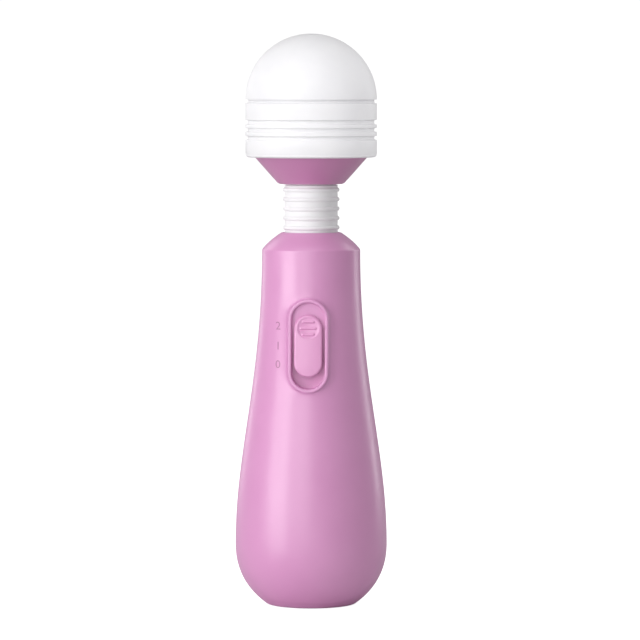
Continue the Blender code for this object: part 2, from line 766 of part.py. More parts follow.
def battery_leads():
    """Short leads from above the tray to the back of the switch board."""
    post = board_posts()[0][1]
    back = switch_depths()["board"] - 1.6
    for name, side in (("red", 1), ("black", -1)):
        knots = [(side * 5.6, -back + 0.4, TRAY_TOP + WIRE_R + 1.0), (side * 5.5, -back + 1.4,
                                                                      TRAY_TOP + 3.8),
                 (side * 5.2, -back + 1.8, post + 4), (side * 5.0, -back + WIRE_R + GAP, post + 10)]
        wire("battery_lead_" + name, smooth_route(knots, 4), WIRE_R)


# ---------------------------------------------------------------- head

def spigot_radius():
    return core_radius() - CORE_T - GAP


def core_radius():
    return HEAD_R - CAP_T - GAP


def head_collar():
    """The cone under the head, with a thin floor round the sleeve and a spigot up inside the core."""
    wall = 2.2
    floor = COLLAR_Z + COLLAR_FLOOR_T
    slope = (COLLAR_TOP_R - COLLAR_FOOT_R) / COLLAR_H
    ledge = CAP_Z + 1.5
    spigot_top = CAP_Z + 6.2
    hole = SLEEVE_R - 0.5 + GAP
    inner = spigot_radius() - 1.8
    foot_inner = COLLAR_FOOT_R + slope * 1.8 - wall
    knee = CAP_Z + (inner - (COLLAR_TOP_R - wall)) / slope
    profile = [(spigot_radius(), spigot_top), (spigot_radius(), ledge), (COLLAR_TOP_R, ledge),
               (COLLAR_TOP_R, CAP_Z),
               (COLLAR_FOOT_R + 0.25, COLLAR_Z + 0.3), (COLLAR_FOOT_R - 0.5, COLLAR_Z), (hole, COLLAR_Z),
               (hole, floor), (foot_inner, floor), (inner, knee), (inner, spigot_top)]
    return turned("head_collar", profile)


def head_cap():
    """Soft cap: four grooves round its side, and a lip that hooks under the core."""
    top = HEAD_R + DOME_Z
    inner = HEAD_R - CAP_T
    valley = HEAD_R - GROOVE_DEPTH
    profile = arc((0, DOME_Z), HEAD_R, 90, 2, 7)
    for low, high in CAP_GROOVES:
        profile += [(HEAD_R, CAP_Z + high), (valley, CAP_Z + high - 0.2), (valley, CAP_Z + low + 0.2),
                    (HEAD_R, CAP_Z + low)]
    profile += [(HEAD_R, CAP_Z + 1.3), (HEAD_R - 0.4, CAP_Z + 0.4), (HEAD_R - 1.3, CAP_Z)]
    profile += [(COLLAR_TOP_R + GAP, CAP_Z), (COLLAR_TOP_R + GAP, CAP_Z + 1.5), (inner, CAP_Z + 1.5)]
    profile += arc((0, DOME_Z), inner, 0, 90, 6)
    profile[0], profile[-1] = (0, top), (0, DOME_Z + inner)
    return turned("head_cap", profile)


def boot_radius():
    return MOTOR_R + GAP + BOOT_T


def head_core():
    """The hard dome inside the cap, with a tube that holds the motor boot."""
    outer = core_radius()
    inner = outer - CORE_T
    tube_in = boot_radius() + GAP
    tube_out = tube_in + 1.5
    tube_foot = boot_foot() + 1.4 + GAP
    out_angle = math.degrees(math.acos(tube_out / inner))
    in_angle = math.degrees(math.acos(tube_in / inner))
    profile = arc((0, DOME_Z), outer, 90, 0, 6) + [(outer, CAP_Z + 1.5 + GAP), (inner, CAP_Z + 1.5 + GAP)]
    profile += arc((0, DOME_Z), inner, 0, out_angle, 2)
    profile += [(tube_out, tube_foot), (tube_in, tube_foot)]
    profile += arc((0, DOME_Z), inner, in_angle, 90, 5)
    profile[0], profile[-1] = (0, DOME_Z + outer), (0, DOME_Z + inner)
    return turned("head_core", profile)


def boot_foot():
    """Height of the boot's flange, just above the collar's spigot."""
    return CAP_Z + 6.2 + GAP


def motor_foot():
    return boot_foot() - 3.5


def motor_boot():
    foot = boot_foot()
    flange = spigot_radius() - 0.3
    profile = [(boot_radius(), motor_foot() + MOTOR_L - 1.5), (boot_radius(), foot + 1.4), (flange,
                                                                                            foot + 1.4),
               (flange, foot), (MOTOR_R + GAP, foot), (MOTOR_R + GAP, motor_foot() + MOTOR_L - 1.5)]
    return turned("motor_boot", profile, 24)


def motor():
    """Can, bush, end cap and two terminals of the motor."""
    foot, top = motor_foot(), motor_foot() + MOTOR_L
    bore = BUSH_R + GAP
    turned("motor_can", [(bore, top + 1.5), (bore + 1.2, top + 1.5), (bore + 1.2, top), (MOTOR_R - 0.8,
                                                                                         top),
                         (MOTOR_R, top - 0.8), (MOTOR_R, foot), (bore, foot)], 24)
    turned("motor_bush", [(SHAFT_R + GAP, top + 1.5), (BUSH_R, top + 1.5), (BUSH_R, top - 3),
                          (SHAFT_R + GAP, top - 3)],
           SMALL_ROUND)
    turned("motor_end_cap", [(0, foot - GAP), (MOTOR_R - 0.6, foot - GAP), (MOTOR_R - 0.6, foot - 1.8),
                             (MOTOR_R - 1.4, foot - 2.4), (0, foot - 2.4)], 20)
    for name, side in (("red", -1), ("black", 1)):
        block("motor_terminal_" + name, (side * 6.0 - 1.0, -0.25, foot - 5.0), (side * 6.0 + 1.0, 0.25,
                                                                                foot - 2.4 - GAP))


def rotor():
    """The shaft, and the half-disc weight on it that shakes the head as it turns."""
    top = motor_foot() + MOTOR_L
    low = top + 2.4
    round_bar("motor_shaft", SHAFT_R, (0, 0, motor_foot() + 1), (0, 0, low + WEIGHT_T + 1.2), 16)
    weight = turned("eccentric_weight", [(SHAFT_R + GAP, low + WEIGHT_T), (WEIGHT_R, low + WEIGHT_T),
                                         (WEIGHT_R, low),
                                         (SHAFT_R + GAP, low)], 32)
    cut(weight, block("weight_cut_left", (-15, SHAFT_R + 1.6, low - 1), (15, 15, low + WEIGHT_T + 1),
                      cutter=True))
    for side in (-1, 1):
        low_x, high_x = sorted((side * (SHAFT_R + 1.8), side * 15))
        cut(weight, block(f"weight_cut_{side}", (low_x, 0, low - 1), (high_x, 15, low + WEIGHT_T + 1),
                          cutter=True))
    return weight


# ---------------------------------------------------------------- assembly

SOFT_WHITE = ("white silicone", (0.90, 0.90, 0.91), 0.45, 0.0)
PINK = ("pink ABS", (0.78, 0.36, 0.58), 0.38, 0.0)
WHITE = ("white ABS", (0.80, 0.80, 0.79), 0.45, 0.0)
BLACK = ("black nylon", (0.03, 0.03, 0.03), 0.5, 0.0)
RUBBER = ("black rubber", (0.02, 0.02, 0.02), 0.8, 0.0)
STEEL = ("plated steel", (0.60, 0.60, 0.62), 0.3, 1.0)
BRASS = ("brass", (0.70, 0.48, 0.20), 0.3, 1.0)
BOARD = ("laminate", (0.16, 0.10, 0.05), 0.6, 0.0)
CELL_SLEEVE = ("cell sleeve", (0.10, 0.12, 0.14), 0.35, 0.3)
RED_PVC = ("red PVC", (0.55, 0.03, 0.03), 0.5, 0.0)
BLACK_PVC = ("black PVC", (0.03, 0.03, 0.03), 0.5, 0.0)

FINISHES = {
    "front_shell": PINK, "rear_shell": PINK, "battery_door": PINK, "switch_knob": PINK, "head_collar": PINK,
    "head_cap": SOFT_WHITE, "neck_sleeve": SOFT_WHITE, "slider_plate": WHITE,
    "switch_lever": BLACK, "switch_can": STEEL, "switch_base": BOARD, "switch_board": BOARD,
    "speed_resistor": BOARD, "battery_tray": WHITE, "neck_socket": WHITE, "upper_spring_seat": WHITE,
    "head_core": WHITE, "motor_boot": RUBBER, "motor_can": STEEL, "motor_end_cap": BLACK,
    "motor_bush": BRASS, "motor_shaft": STEEL, "eccentric_weight": BRASS, "neck_spring": STEEL,
}
FINISH_BY_START = {
    "cell_": CELL_SLEEVE, "contact_": STEEL, "shell_screw": STEEL, "lower_board": STEEL, "upper_board": STEEL,
    "motor_terminal": BRASS, "motor_lead_red": RED_PVC, "motor_lead_black": BLACK_PVC,
    "battery_lead_red": RED_PVC, "battery_lead_black": BLACK_PVC,
}


def paint(piece):
    choice = FINISHES.get(piece.name)
    for start, value in FINISH_BY_START.items():
        if choice is None and piece.name.startswith(start):
            choice = value
    name, colour, roughness, metallic = choice
    piece.data.materials.append(finish(f"{name} {piece.name}", colour, roughness, metallic))


def joint_empties():
    """Empties on the joint axes. Each moving body's pieces hang on its own."""
    low = door_foot()
    places = {
        "switch_axis": ((0, -switch_depths()["floor"], SWITCH_Z), None),
        "door_axis": ((0, skin_radius(low), low), None),
        "nod_axis": ((0, 0, NOD_Z), None),
        "sway_axis": ((0, 0, SWAY_Z), "nod_axis"),
        "motor_axis": ((0, 0, motor_foot()), "sway_axis"),
    }
    made = {}
    for name, (place, parent) in places.items():
        empty = bpy.data.objects.new(name, None)
        PARTS.objects.link(empty)
        above = places[parent][0] if parent else (0, 0, 0)
        empty.location = [(a - b) * MM for a, b in zip(place, above)]
        empty.parent = made.get(parent)
        made[name] = empty
    bpy.context.view_layer.update()
    return made


MOVING = {
    "switch_axis": ("switch_knob", "slider_plate", "switch_lever"),
    "door_axis": ("battery_door",),
    "nod_axis": ("neck_sleeve", "neck_spring", "motor_lead_red", "motor_lead_black"),
    "sway_axis": ("head_collar", "head_core", "head_cap", "motor_boot", "motor_can", "motor_bush",
                  "motor_end_cap",
                  "motor_terminal_red", "motor_terminal_black", "upper_spring_seat"),
    "motor_axis": ("motor_shaft", "eccentric_weight"),
}


def hang(piece, empty):
    place = piece.matrix_world.copy()
    piece.parent = empty
    piece.matrix_parent_inverse = empty.matrix_world.inverted()
    piece.matrix_world = place


clear_scene()
PARTS = new_collection("handheld_wand_massager")
CUTTERS = new_collection("cutters")
CORE = casing_core()

front_shell()
rear_shell()
battery_door()
shell_screws()
switch_knob()
switch_slider()
switch_lever()
switch_can()
switch_base()
switch_board()
battery_tray()
battery_cells()
contact_plates()
battery_leads()
neck_socket()
neck_sleeve()
neck_spring()
upper_spring_seat()
motor_leads()
head_collar()
head_cap()
head_core()
motor_boot()
motor()
rotor()

bpy.context.view_layer.update()
AXES = joint_empties()
for axis_name, piece_names in MOVING.items():
    for piece_name in piece_names:
        hang(PARTS.objects[piece_name], AXES[axis_name])
for item in list(PARTS.objects):
    if item.type != "EMPTY":
        paint(item)
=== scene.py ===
"""Looks of the handheld wand massager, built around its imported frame.

Lengths in the shape functions are millimetres and become metres where a mesh is made.
"""
import math

import bmesh
import bpy
from mathutils import Matrix, Vector


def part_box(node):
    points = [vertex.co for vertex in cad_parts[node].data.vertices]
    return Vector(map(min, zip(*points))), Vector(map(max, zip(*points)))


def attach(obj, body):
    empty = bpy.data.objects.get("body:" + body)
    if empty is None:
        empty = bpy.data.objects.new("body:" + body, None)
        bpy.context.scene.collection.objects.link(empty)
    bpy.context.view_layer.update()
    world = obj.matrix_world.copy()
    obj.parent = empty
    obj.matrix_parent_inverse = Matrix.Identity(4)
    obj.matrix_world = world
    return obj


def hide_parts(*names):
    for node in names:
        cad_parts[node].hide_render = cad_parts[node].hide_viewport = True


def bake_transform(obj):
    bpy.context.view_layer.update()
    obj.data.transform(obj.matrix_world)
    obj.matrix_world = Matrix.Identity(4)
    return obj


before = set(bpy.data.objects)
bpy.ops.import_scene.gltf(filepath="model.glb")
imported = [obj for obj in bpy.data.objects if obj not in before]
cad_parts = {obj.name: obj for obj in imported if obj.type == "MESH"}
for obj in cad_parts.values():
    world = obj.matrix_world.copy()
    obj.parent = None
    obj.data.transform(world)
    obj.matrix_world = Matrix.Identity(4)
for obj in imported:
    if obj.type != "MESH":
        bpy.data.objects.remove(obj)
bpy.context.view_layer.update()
MM = 0.001


def box_mm(name):
    """Lowest and highest corner of a CAD node, in millimetres."""
    low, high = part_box(name)
    return Vector(low) / MM, Vector(high) / MM


# ---------------------------------------------------------------- sizes shared with the CAD

WALL = 2.0
SEAM = 0.15  # half the gap between the shells
FOOT_R = 15.4
BELLY_R = 26.6
BELLY_Z = 21.0
WAIST_R = 17.2
SHOULDER_H = 6.1
SHOULDER_TOP_R = 10.2
LIP_T = 2.5
SHOULDER_TOP = box_mm("front_shell")[1].z
CREASE_Z = SHOULDER_TOP - SHOULDER_H
WAIST_CURVE = ((WAIST_R, CREASE_Z), (WAIST_R, 78.0), (BELLY_R, 54.6), (BELLY_R, BELLY_Z))
FOOT_CURVE = ((BELLY_R, BELLY_Z), (BELLY_R, 9.66), (FOOT_R + 5.0, 3.5), (FOOT_R, 0.0))
SHOULDER_CURVE = ((SHOULDER_TOP_R, SHOULDER_TOP), (SHOULDER_TOP_R + 2.6, SHOULDER_TOP - 1.6),
                  (WAIST_R - 1.6, CREASE_Z + 2.2), (WAIST_R, CREASE_Z))

KNOB_LOW, KNOB_HIGH = box_mm("switch_knob")
KNOB_W = KNOB_HIGH.x - KNOB_LOW.x
KNOB_L = KNOB_HIGH.z - KNOB_LOW.z
SWITCH_Z = (KNOB_HIGH.z + KNOB_LOW.z) / 2
BEZEL_W = 14.2
BEZEL_L = 32.4
RIM_T = 1.35
RIM_PROUD = 1.05
KNOB_PROUD = 0.3
FLOOR_T = 2.0

COLLAR_Z = box_mm("head_collar")[0].z
CAP_Z = box_mm("head_cap")[0].z
CAP_TOP = box_mm("head_cap")[1].z
HEAD_R = (box_mm("head_cap")[1].x - box_mm("head_cap")[0].x) / 2
DOME_Z = CAP_TOP - HEAD_R
NECK_L = COLLAR_Z - SHOULDER_TOP
SLEEVE_R = 9.3
SLEEVE_RIB_R = 9.95
SLEEVE_BORE_R = 7.5


def bezier(ends, t):
    """Point at t on a cubic through four (radius, height) points."""
    weights = ((1 - t) ** 3, 3 * t * (1 - t) ** 2, 3 * t * t * (1 - t), t ** 3)
    return tuple(sum(w * p[k] for w, p in zip(weights, ends)) for k in (0, 1))


def skin_radius(z):
    """Outer radius of the handle at a height."""
    curve = WAIST_CURVE if z > BELLY_Z else FOOT_CURVE
    if z > CREASE_Z:
        curve = SHOULDER_CURVE
    low, high = 0.0, 1.0
    for _ in range(34):
        middle = (low + high) / 2
        if bezier(curve, middle)[1] > z:
            low = middle
        else:
            high = middle
    return bezier(curve, low)[0]


def smoothstep(low, high, value):
    t = min(1.0, max(0.0, (value - low) / (high - low)))
    return t * t * (3 - 2 * t)


# ---------------------------------------------------------------- camera, lights and floor

def colour(code):
    """A linear RGBA colour from an sRGB hex code."""
    channels = [int(code[i:i + 2], 16) / 255 for i in (0, 2, 4)]
    return (*[c / 12.92 if c <= 0.04045 else ((c + 0.055) / 1.055) ** 2.4 for c in channels], 1.0)


def make_camera():
    """A long lens a little right of the front, looking slightly down."""
    data = bpy.data.cameras.new("camera")
    data.lens = 225.0
    data.sensor_width = 36.0
    data.clip_start = 0.05
    camera = bpy.data.objects.new("camera", data)
    bpy.context.scene.collection.objects.link(camera)
    azimuth = math.radians(3.0)
    distance = 1.40
    side = Vector((math.cos(azimuth), math.sin(azimuth), 0))
    camera.location = (distance * math.sin(azimuth), -distance * math.cos(azimuth), 0.184)
    target = side * 0.0031 + Vector((0, 0, 0.0998))
    camera.rotation_euler = (target - camera.location).to_track_quat("-Z", "Y").to_euler()
    bpy.context.scene.camera = camera


def softbox(name, azimuth, height, distance, size, power, aim=0.1):
    """A rectangular light at an azimuth about the wand, 0 in front and positive to the right."""
    data = bpy.data.lights.new(name, "AREA")
    data.shape = "RECTANGLE"
    data.size, data.size_y = size
    data.energy = power
    lamp = bpy.data.objects.new(name, data)
    bpy.context.scene.collection.objects.link(lamp)
    angle = math.radians(azimuth)
    lamp.location = (distance * math.sin(angle), -distance * math.cos(angle), height)
    lamp.rotation_euler = (Vector((0, 0, aim)) - lamp.location).to_track_quat("-Z", "Y").to_euler()
    return lamp


def seen_and_cast(tree, cast, seen):
    """A strength with one value for what the camera sees directly and another for the light it casts."""
    path = tree.nodes.new("ShaderNodeLightPath")
    level = tree.nodes.new("ShaderNodeMapRange")
    level.inputs["To Min"].default_value = cast
    level.inputs["To Max"].default_value = seen
    tree.links.new(path.outputs["Is Camera Ray"], level.inputs["Value"])
    return level.outputs["Result"]


def make_studio():
    softbox("key_left", -42, 0.3, 0.9, (0.26, 0.9), 2.5)
    softbox("strip_left", -62, 0.3, 0.9, (0.16, 0.9), 1.9)
    softbox("front_fill", -12, 0.4, 1.2, (0.6, 0.9), 3.0)
    softbox("high_front", -20, 0.9, 0.9, (0.6, 0.6), 0.8)
    softbox("overhead", -20, 1.1, 0.35, (0.6, 0.6), 1.2)
    softbox("low_left", -50, 0.02, 0.9, (0.4, 0.2), 0.9)
    whites = bpy.data.collections.new("white_pieces")
    whitener = softbox("white_fill", 62, 0.4, 1.0, (0.7, 0.9), 3.4)
    whitener.light_linking.receiver_collection = whites
    softbox("rim_left", -140, 0.3, 0.9, (0.25, 0.9), 1.2)
    softbox("rim_right", 132, 0.4, 0.9, (0.2, 0.9), 1.6)
    world = bpy.data.worlds.new("studio")
    world.use_nodes = True
    back = world.node_tree.nodes["Background"]
    strength = seen_and_cast(world.node_tree, 0.36, 1.05)
    world.node_tree.links.new(strength, back.inputs["Strength"])
    back.inputs["Color"].default_value = colour("FFFFFF")
    bpy.context.scene.world = world
    bpy.context.scene.view_settings.view_transform = "Standard"


def make_floor():
    """A white sweep that stays white to its far edge and throws no light of its own on the wand."""
    mesh = bpy.data.meshes.new("floor")
    shape = bmesh.new()
    bmesh.ops.create_circle(shape, cap_ends=True, radius=6.0, segments=64)
    shape.to_mesh(mesh)
    shape.free()
    floor = bpy.data.objects.new("floor", mesh)
    bpy.context.scene.collection.objects.link(floor)
    floor.location = (0, 0, -0.0002)
    paint = bpy.data.materials.new("white_painted_sweep")
    paint.use_nodes = True
    shader = paint.node_tree.nodes["Principled BSDF"]
    shader.inputs["Base Color"].default_value = colour("DCDCDC")
    shader.inputs["Roughness"].default_value = 0.9
    shader.inputs["Specular IOR Level"].default_value = 0.0
    shader.inputs["Emission Color"].default_value = colour("FFFFFF")
    strength = seen_and_cast(paint.node_tree, 0.0, 0.9)
    paint.node_tree.links.new(strength, shader.inputs["Emission Strength"])
    mesh.materials.append(paint)


make_camera()
make_studio()
make_floor()


# ---------------------------------------------------------------- materials

def add(tree, kind, settings=None, **inputs):
    """Adds a node with its settings, and gives each named input a value or a link from a socket."""
    made = tree.nodes.new(kind)
    for key, value in (settings or {}).items():
        setattr(made, key, value)
    for key, value in inputs.items():
        socket = made.inputs[int(key[1:])] if key[0] == "_" and key[1:].isdigit() else made.inputs[key.replace("_", " ")]
        if isinstance(value, bpy.types.NodeSocket):
            tree.links.new(value, socket)
        else:
            socket.default_value = value
    return made


def new_material(name, base, roughness, **extra):
    """A Principled material with its constant values set on the shader itself."""
    made = bpy.data.materials.new(name)
    made.use_nodes = True
    shader = made.node_tree.nodes["Principled BSDF"]
    shader.inputs["Base Color"].default_value = base
    shader.inputs["Roughness"].default_value = roughness
    for key, value in extra.items():
        shader.inputs[key.replace("_", " ")].default_value = value
    return made, made.node_tree, shader


def grain(tree, shader, spacing_mm, depth_mm, detail=2.0):
    """Fine bumps with a real spacing and depth."""
    place = add(tree, "ShaderNodeTexCoord").outputs["Object"]
    noise = add(tree, "ShaderNodeTexNoise", Vector=place, Scale=1 / (spacing_mm * MM), Detail=detail)
    bump = add(tree, "ShaderNodeBump", Strength=1.0, Distance=depth_mm * MM, Height=noise.outputs["Fac"])
    tree.links.new(bump.outputs["Normal"], shader.inputs["Normal"])
    return place


def tone(tree, shader, place, light, dark, spacing_mm):
    """A slow drift between two close colours, as pigment in a moulding has."""
    noise = add(tree, "ShaderNodeTexNoise", Vector=place, Scale=1 / (spacing_mm * MM), Detail=3.0)
    ramp = add(tree, "ShaderNodeValToRGB", Fac=noise.outputs["Fac"])
    ramp.color_ramp.elements[0].position = 0.3
    ramp.color_ramp.elements[1].position = 0.7
    ramp.color_ramp.elements[0].color = dark
    ramp.color_ramp.elements[1].color = light
    tree.links.new(ramp.outputs["Color"], shader.inputs["Base Color"])


def sheen_drift(tree, shader, place, low, high, spacing_mm):
    """Roughness that wanders a little, as handling and mould flow leave it."""
    noise = add(tree, "ShaderNodeTexNoise", Vector=place, Scale=1 / (spacing_mm * MM), Detail=4.0)
    spread = add(tree, "ShaderNodeMapRange", Value=noise.outputs["Fac"], From_Min=0.3, From_Max=0.7, To_Min=low,
                 To_Max=high)
    tree.links.new(spread.outputs["Result"], shader.inputs["Roughness"])


def satin_abs(name, light, dark, low=0.31, high=0.38):
    """Injection-moulded ABS from a fine spark-eroded mould: a soft satin with a barely visible grain."""
    made, tree, shader = new_material(name, light, 0.35, IOR=1.53, Specular_IOR_Level=1.0)
    place = grain(tree, shader, 0.35, 0.006)
    tone(tree, shader, place, light, dark, 18.0)
    sheen_drift(tree, shader, place, low, high, 9.0)
    return made


def moulded_silicone(name, light, dark):
    """Press-moulded silicone rubber: milky, light goes a little way in, and the skin is dull and slightly dusty."""
    made, tree, shader = new_material(name, light, 0.5, IOR=1.41, Subsurface_Weight=0.12, Subsurface_Scale=0.003)
    shader.inputs["Subsurface Radius"].default_value = (1.0, 0.95, 0.95)
    place = grain(tree, shader, 0.5, 0.005)
    tone(tree, shader, place, light, dark, 12.0)
    sheen_drift(tree, shader, place, 0.44, 0.56, 6.0)
    return made


PINK = satin_abs("pink_abs_satin_moulded", colour("DE99CA"), colour("DB95C7"))
# The collar gets the body's pink darkened: painted shade for the shadow under the cap's overhang.
PINK_PAINTED_SHADE = satin_abs("pink_abs_satin_collar_painted_shade", colour("C880B1"), colour("C57DAE"))
SOFT_WHITE = moulded_silicone("white_silicone_press_moulded", colour("F1F0F2"), colour("EDECEF"))
SLEEVE_WHITE = moulded_silicone("white_tpe_sleeve_moulded", colour("F8F7F9"), colour("F4F3F5"))


def bright_metal(name, base, roughness, line_mm, lines, depth_mm=0.002):
    """Plated or drawn metal. lines stretches the fine marks of drawing, turning or stamping along X, Y and Z."""
    made, tree, shader = new_material(name, base, roughness, Metallic=1.0)
    place = add(tree, "ShaderNodeTexCoord").outputs["Object"]
    stretched = add(tree, "ShaderNodeMapping", Vector=place, Scale=lines)
    marks = add(tree, "ShaderNodeTexNoise", Vector=stretched.outputs["Vector"], Scale=1 / (line_mm * MM), Detail=3.0)
    bump = add(tree, "ShaderNodeBump", Strength=0.6, Distance=depth_mm * MM, Height=marks.outputs["Fac"])
    tree.links.new(bump.outputs["Normal"], shader.inputs["Normal"])
    patina = add(tree, "ShaderNodeTexNoise", Vector=place, Scale=1 / (3.0 * MM), Detail=4.0)
    spread = add(tree, "ShaderNodeMapRange", Value=patina.outputs["Fac"], From_Min=0.3, From_Max=0.7,
                 To_Min=roughness * 0.8, To_Max=roughness * 1.35)
    tree.links.new(spread.outputs["Result"], shader.inputs["Roughness"])
    return made


def moulded_plain(name, light, dark, roughness, grain_mm=0.4, depth_mm=0.006):
    """A bare moulding from an untextured tool, as hidden parts are: flow makes its tone and sheen drift."""
    made, tree, shader = new_material(name, light, roughness, IOR=1.53)
    place = grain(tree, shader, grain_mm, depth_mm)
    tone(tree, shader, place, light, dark, 9.0)
    sheen_drift(tree, shader, place, roughness * 0.85, roughness * 1.2, 5.0)
    return made


def phenolic_board(name, light, dark):
    """Punched paper laminate: warm brown, with the pressed paper's fibres faintly showing through the resin."""
    made, tree, shader = new_material(name, light, 0.45, IOR=1.6)
    place = add(tree, "ShaderNodeTexCoord").outputs["Object"]
    fibres = add(tree, "ShaderNodeMapping", Vector=place, Scale=(1.0, 1.0, 0.2))
    noise = add(tree, "ShaderNodeTexNoise", Vector=fibres.outputs["Vector"], Scale=1 / (0.5 * MM), Detail=6.0)
    ramp = add(tree, "ShaderNodeValToRGB", Fac=noise.outputs["Fac"])
    ramp.color_ramp.elements[0].position = 0.35
    ramp.color_ramp.elements[1].position = 0.65
    ramp.color_ramp.elements[0].color = dark
    ramp.color_ramp.elements[1].color = light
    tree.links.new(ramp.outputs["Color"], shader.inputs["Base Color"])
    bump = add(tree, "ShaderNodeBump", Strength=0.4, Distance=0.004 * MM, Height=noise.outputs["Fac"])
    tree.links.new(bump.outputs["Normal"], shader.inputs["Normal"])
    return made


def cell_jacket():
    """Heat-shrunk printed PVC film over a steel can: glossy grey, with a pale band near its upper end."""
    made, tree, shader = new_material("printed_pvc_cell_jacket", colour("5C6470"), 0.25, IOR=1.54, Coat_Weight=0.3)
    place = grain(tree, shader, 0.8, 0.004)
    height = add(tree, "ShaderNodeSeparateXYZ", Vector=place).outputs["Z"]
    band = add(tree, "ShaderNodeMapRange", Value=height, From_Min=BAND_Z * MM, From_Max=(BAND_Z + 0.1) * MM)
    mix = add(tree, "ShaderNodeMix", {"data_type": "RGBA"}, Factor=band.outputs["Result"], _6=colour("5C6470"),
              _7=colour("C9CDD2"))
    tree.links.new(mix.outputs[2], shader.inputs["Base Color"])
    sheen_drift(tree, shader, place, 0.2, 0.32, 6.0)
    return made


def banded_resistor():
    """Lacquered ceramic resistor: matt tan, with painted rings across its length."""
    low, high = box_mm("speed_resistor")
    middle, length = (low.z + high.z) / 2, high.z - low.z
    made, tree, shader = new_material("lacquered_resistor", colour("CBB28A"), 0.4, IOR=1.5)
    place = grain(tree, shader, 0.3, 0.01)
    height = add(tree, "ShaderNodeSeparateXYZ", Vector=place).outputs["Z"]
    along = add(tree, "ShaderNodeMapRange", Value=height, From_Min=(middle - length / 2) * MM,
                From_Max=(middle + length / 2) * MM)
    rings = add(tree, "ShaderNodeValToRGB", Fac=along.outputs["Result"])
    rings.color_ramp.interpolation = "CONSTANT"
    body, paints = colour("CBB28A"), ("7A4A26", "1E1C1C", "B4722C", "B59A3C")
    rings.color_ramp.elements[0].color = body
    rings.color_ramp.elements[1].position = 0.98
    rings.color_ramp.elements[1].color = body
    for i, paint in enumerate(paints):
        start = 0.3 + 0.12 * i
        rings.color_ramp.elements.new(start).color = colour(paint)
        rings.color_ramp.elements.new(start + 0.05).color = body
    tree.links.new(rings.outputs["Color"], shader.inputs["Base Color"])
    return made


BAND_Z = box_mm("cell_rear_left")[1].z - 16.0
KNOB_PINK = satin_abs("pink_abs_satin_knob", colour("E69FCF"), colour("E39BCC"), 0.3, 0.38)
# The marks' darker rose is painted shade for the shadow in moulded letters of the body's pink.
MARK_PAINTED_SHADE = satin_abs("rose_painted_shade_marks", colour("B4709C"), colour("AE6A96"), 0.4, 0.5)
WHITE_ABS = moulded_plain("white_abs_moulded", colour("ECEBE8"), colour("E4E2DE"), 0.42)
BLACK_NYLON = moulded_plain("black_nylon_moulded", colour("26262A"), colour("1D1D20"), 0.5)
BLACK_RUBBER = moulded_plain("black_rubber_moulded", colour("202022"), colour("18181A"), 0.75, 0.6, 0.02)
RED_PVC = moulded_plain("red_pvc_extruded", colour("B5201F"), colour("A81A1B"), 0.38, 1.2)
BLACK_PVC = moulded_plain("black_pvc_extruded", colour("1F1F21"), colour("19191B"), 0.38, 1.2)
SPRING_STEEL = bright_metal("nickel_plated_spring_wire", colour("C9C8C4"), 0.28, 0.15, (1, 1, 0.2))
NICKEL_PLATE = bright_metal("nickel_plated_spring_strip", colour("CFCDC7"), 0.26, 0.2, (0.15, 1, 1))
TIN_PLATE = bright_metal("tin_plate_folded", colour("C4C4C2"), 0.34, 0.2, (1, 1, 0.15))
ZINC_SCREW = bright_metal("zinc_plated_screw_rolled", colour("C3C6CC"), 0.3, 0.25, (1, 0.3, 1))
MOTOR_STEEL = bright_metal("zinc_plated_motor_can_drawn", colour("BFC2C6"), 0.32, 0.3, (1, 1, 0.08))
SHAFT_STEEL = bright_metal("ground_steel_shaft", colour("B9BABB"), 0.22, 0.1, (0.3, 0.3, 1))
SINTERED_STEEL = bright_metal("sintered_steel_weight", colour("8E8D8C"), 0.5, 0.25, (1, 1, 1), 0.012)
BRASS = bright_metal("turned_brass", colour("CFAE66"), 0.27, 0.15, (0.4, 0.4, 1))
CELL_STEEL = bright_metal("nickel_plated_cell_can", colour("CDCCC8"), 0.25, 0.4, (1, 1, 1))
BROWN_LAMINATE = phenolic_board("phenolic_paper_laminate", colour("B98A52"), colour("A5763F"))
CELL_JACKET = cell_jacket()
RESISTOR = banded_resistor()


# ---------------------------------------------------------------- mesh building

class Skin:
    """Rows of points, in millimetres, and the faces between them."""

    def __init__(self):
        self.points = []
        self.faces = []

    def row(self, points):
        start = len(self.points)
        self.points += [Vector(p) for p in points]
        return list(range(start, len(self.points)))

    def strip(self, a, b, closed=False):
        count = len(a)
        for i in range(count if closed else count - 1):
            j = (i + 1) % count
            self.faces.append((a[i], a[j], b[j], b[i]))

    def loops(self, rows, first=None, closed=True):
        """Adds rows one after another, each joined to the one before, and returns the last."""
        last = first
        for points in rows:
            made = self.row(points)
            if last is not None:
                self.strip(last, made, closed)
            last = made
        return last

    def cap(self, row):
        self.faces.append(tuple(row))

    def build(self, name, material, sharp=35.0, weld=0.002):
        """Welds, turns the faces outwards, shades smooth and returns the object."""
        mesh = bpy.data.meshes.new(name)
        mesh.from_pydata([p * MM for p in self.points], [], self.faces)
        return settle(mesh, name, material, sharp, weld)


def settle(mesh, name, material, sharp=35.0, weld=0.002):
    """Finishes a mesh made in metres as an object at the origin."""
    shape = bmesh.new()
    shape.from_mesh(mesh)
    bmesh.ops.remove_doubles(shape, verts=shape.verts, dist=weld * MM)
    bmesh.ops.dissolve_degenerate(shape, edges=shape.edges, dist=0.0002 * MM)
    bmesh.ops.recalc_face_normals(shape, faces=shape.faces)
    shape.to_mesh(mesh)
    shape.free()
    mesh.shade_smooth()
    mesh.set_sharp_from_angle(angle=math.radians(sharp))
    mesh.materials.clear()
    mesh.materials.append(material)
    made = bpy.data.objects.new(name, mesh)
    bpy.context.scene.collection.objects.link(made)
    return made


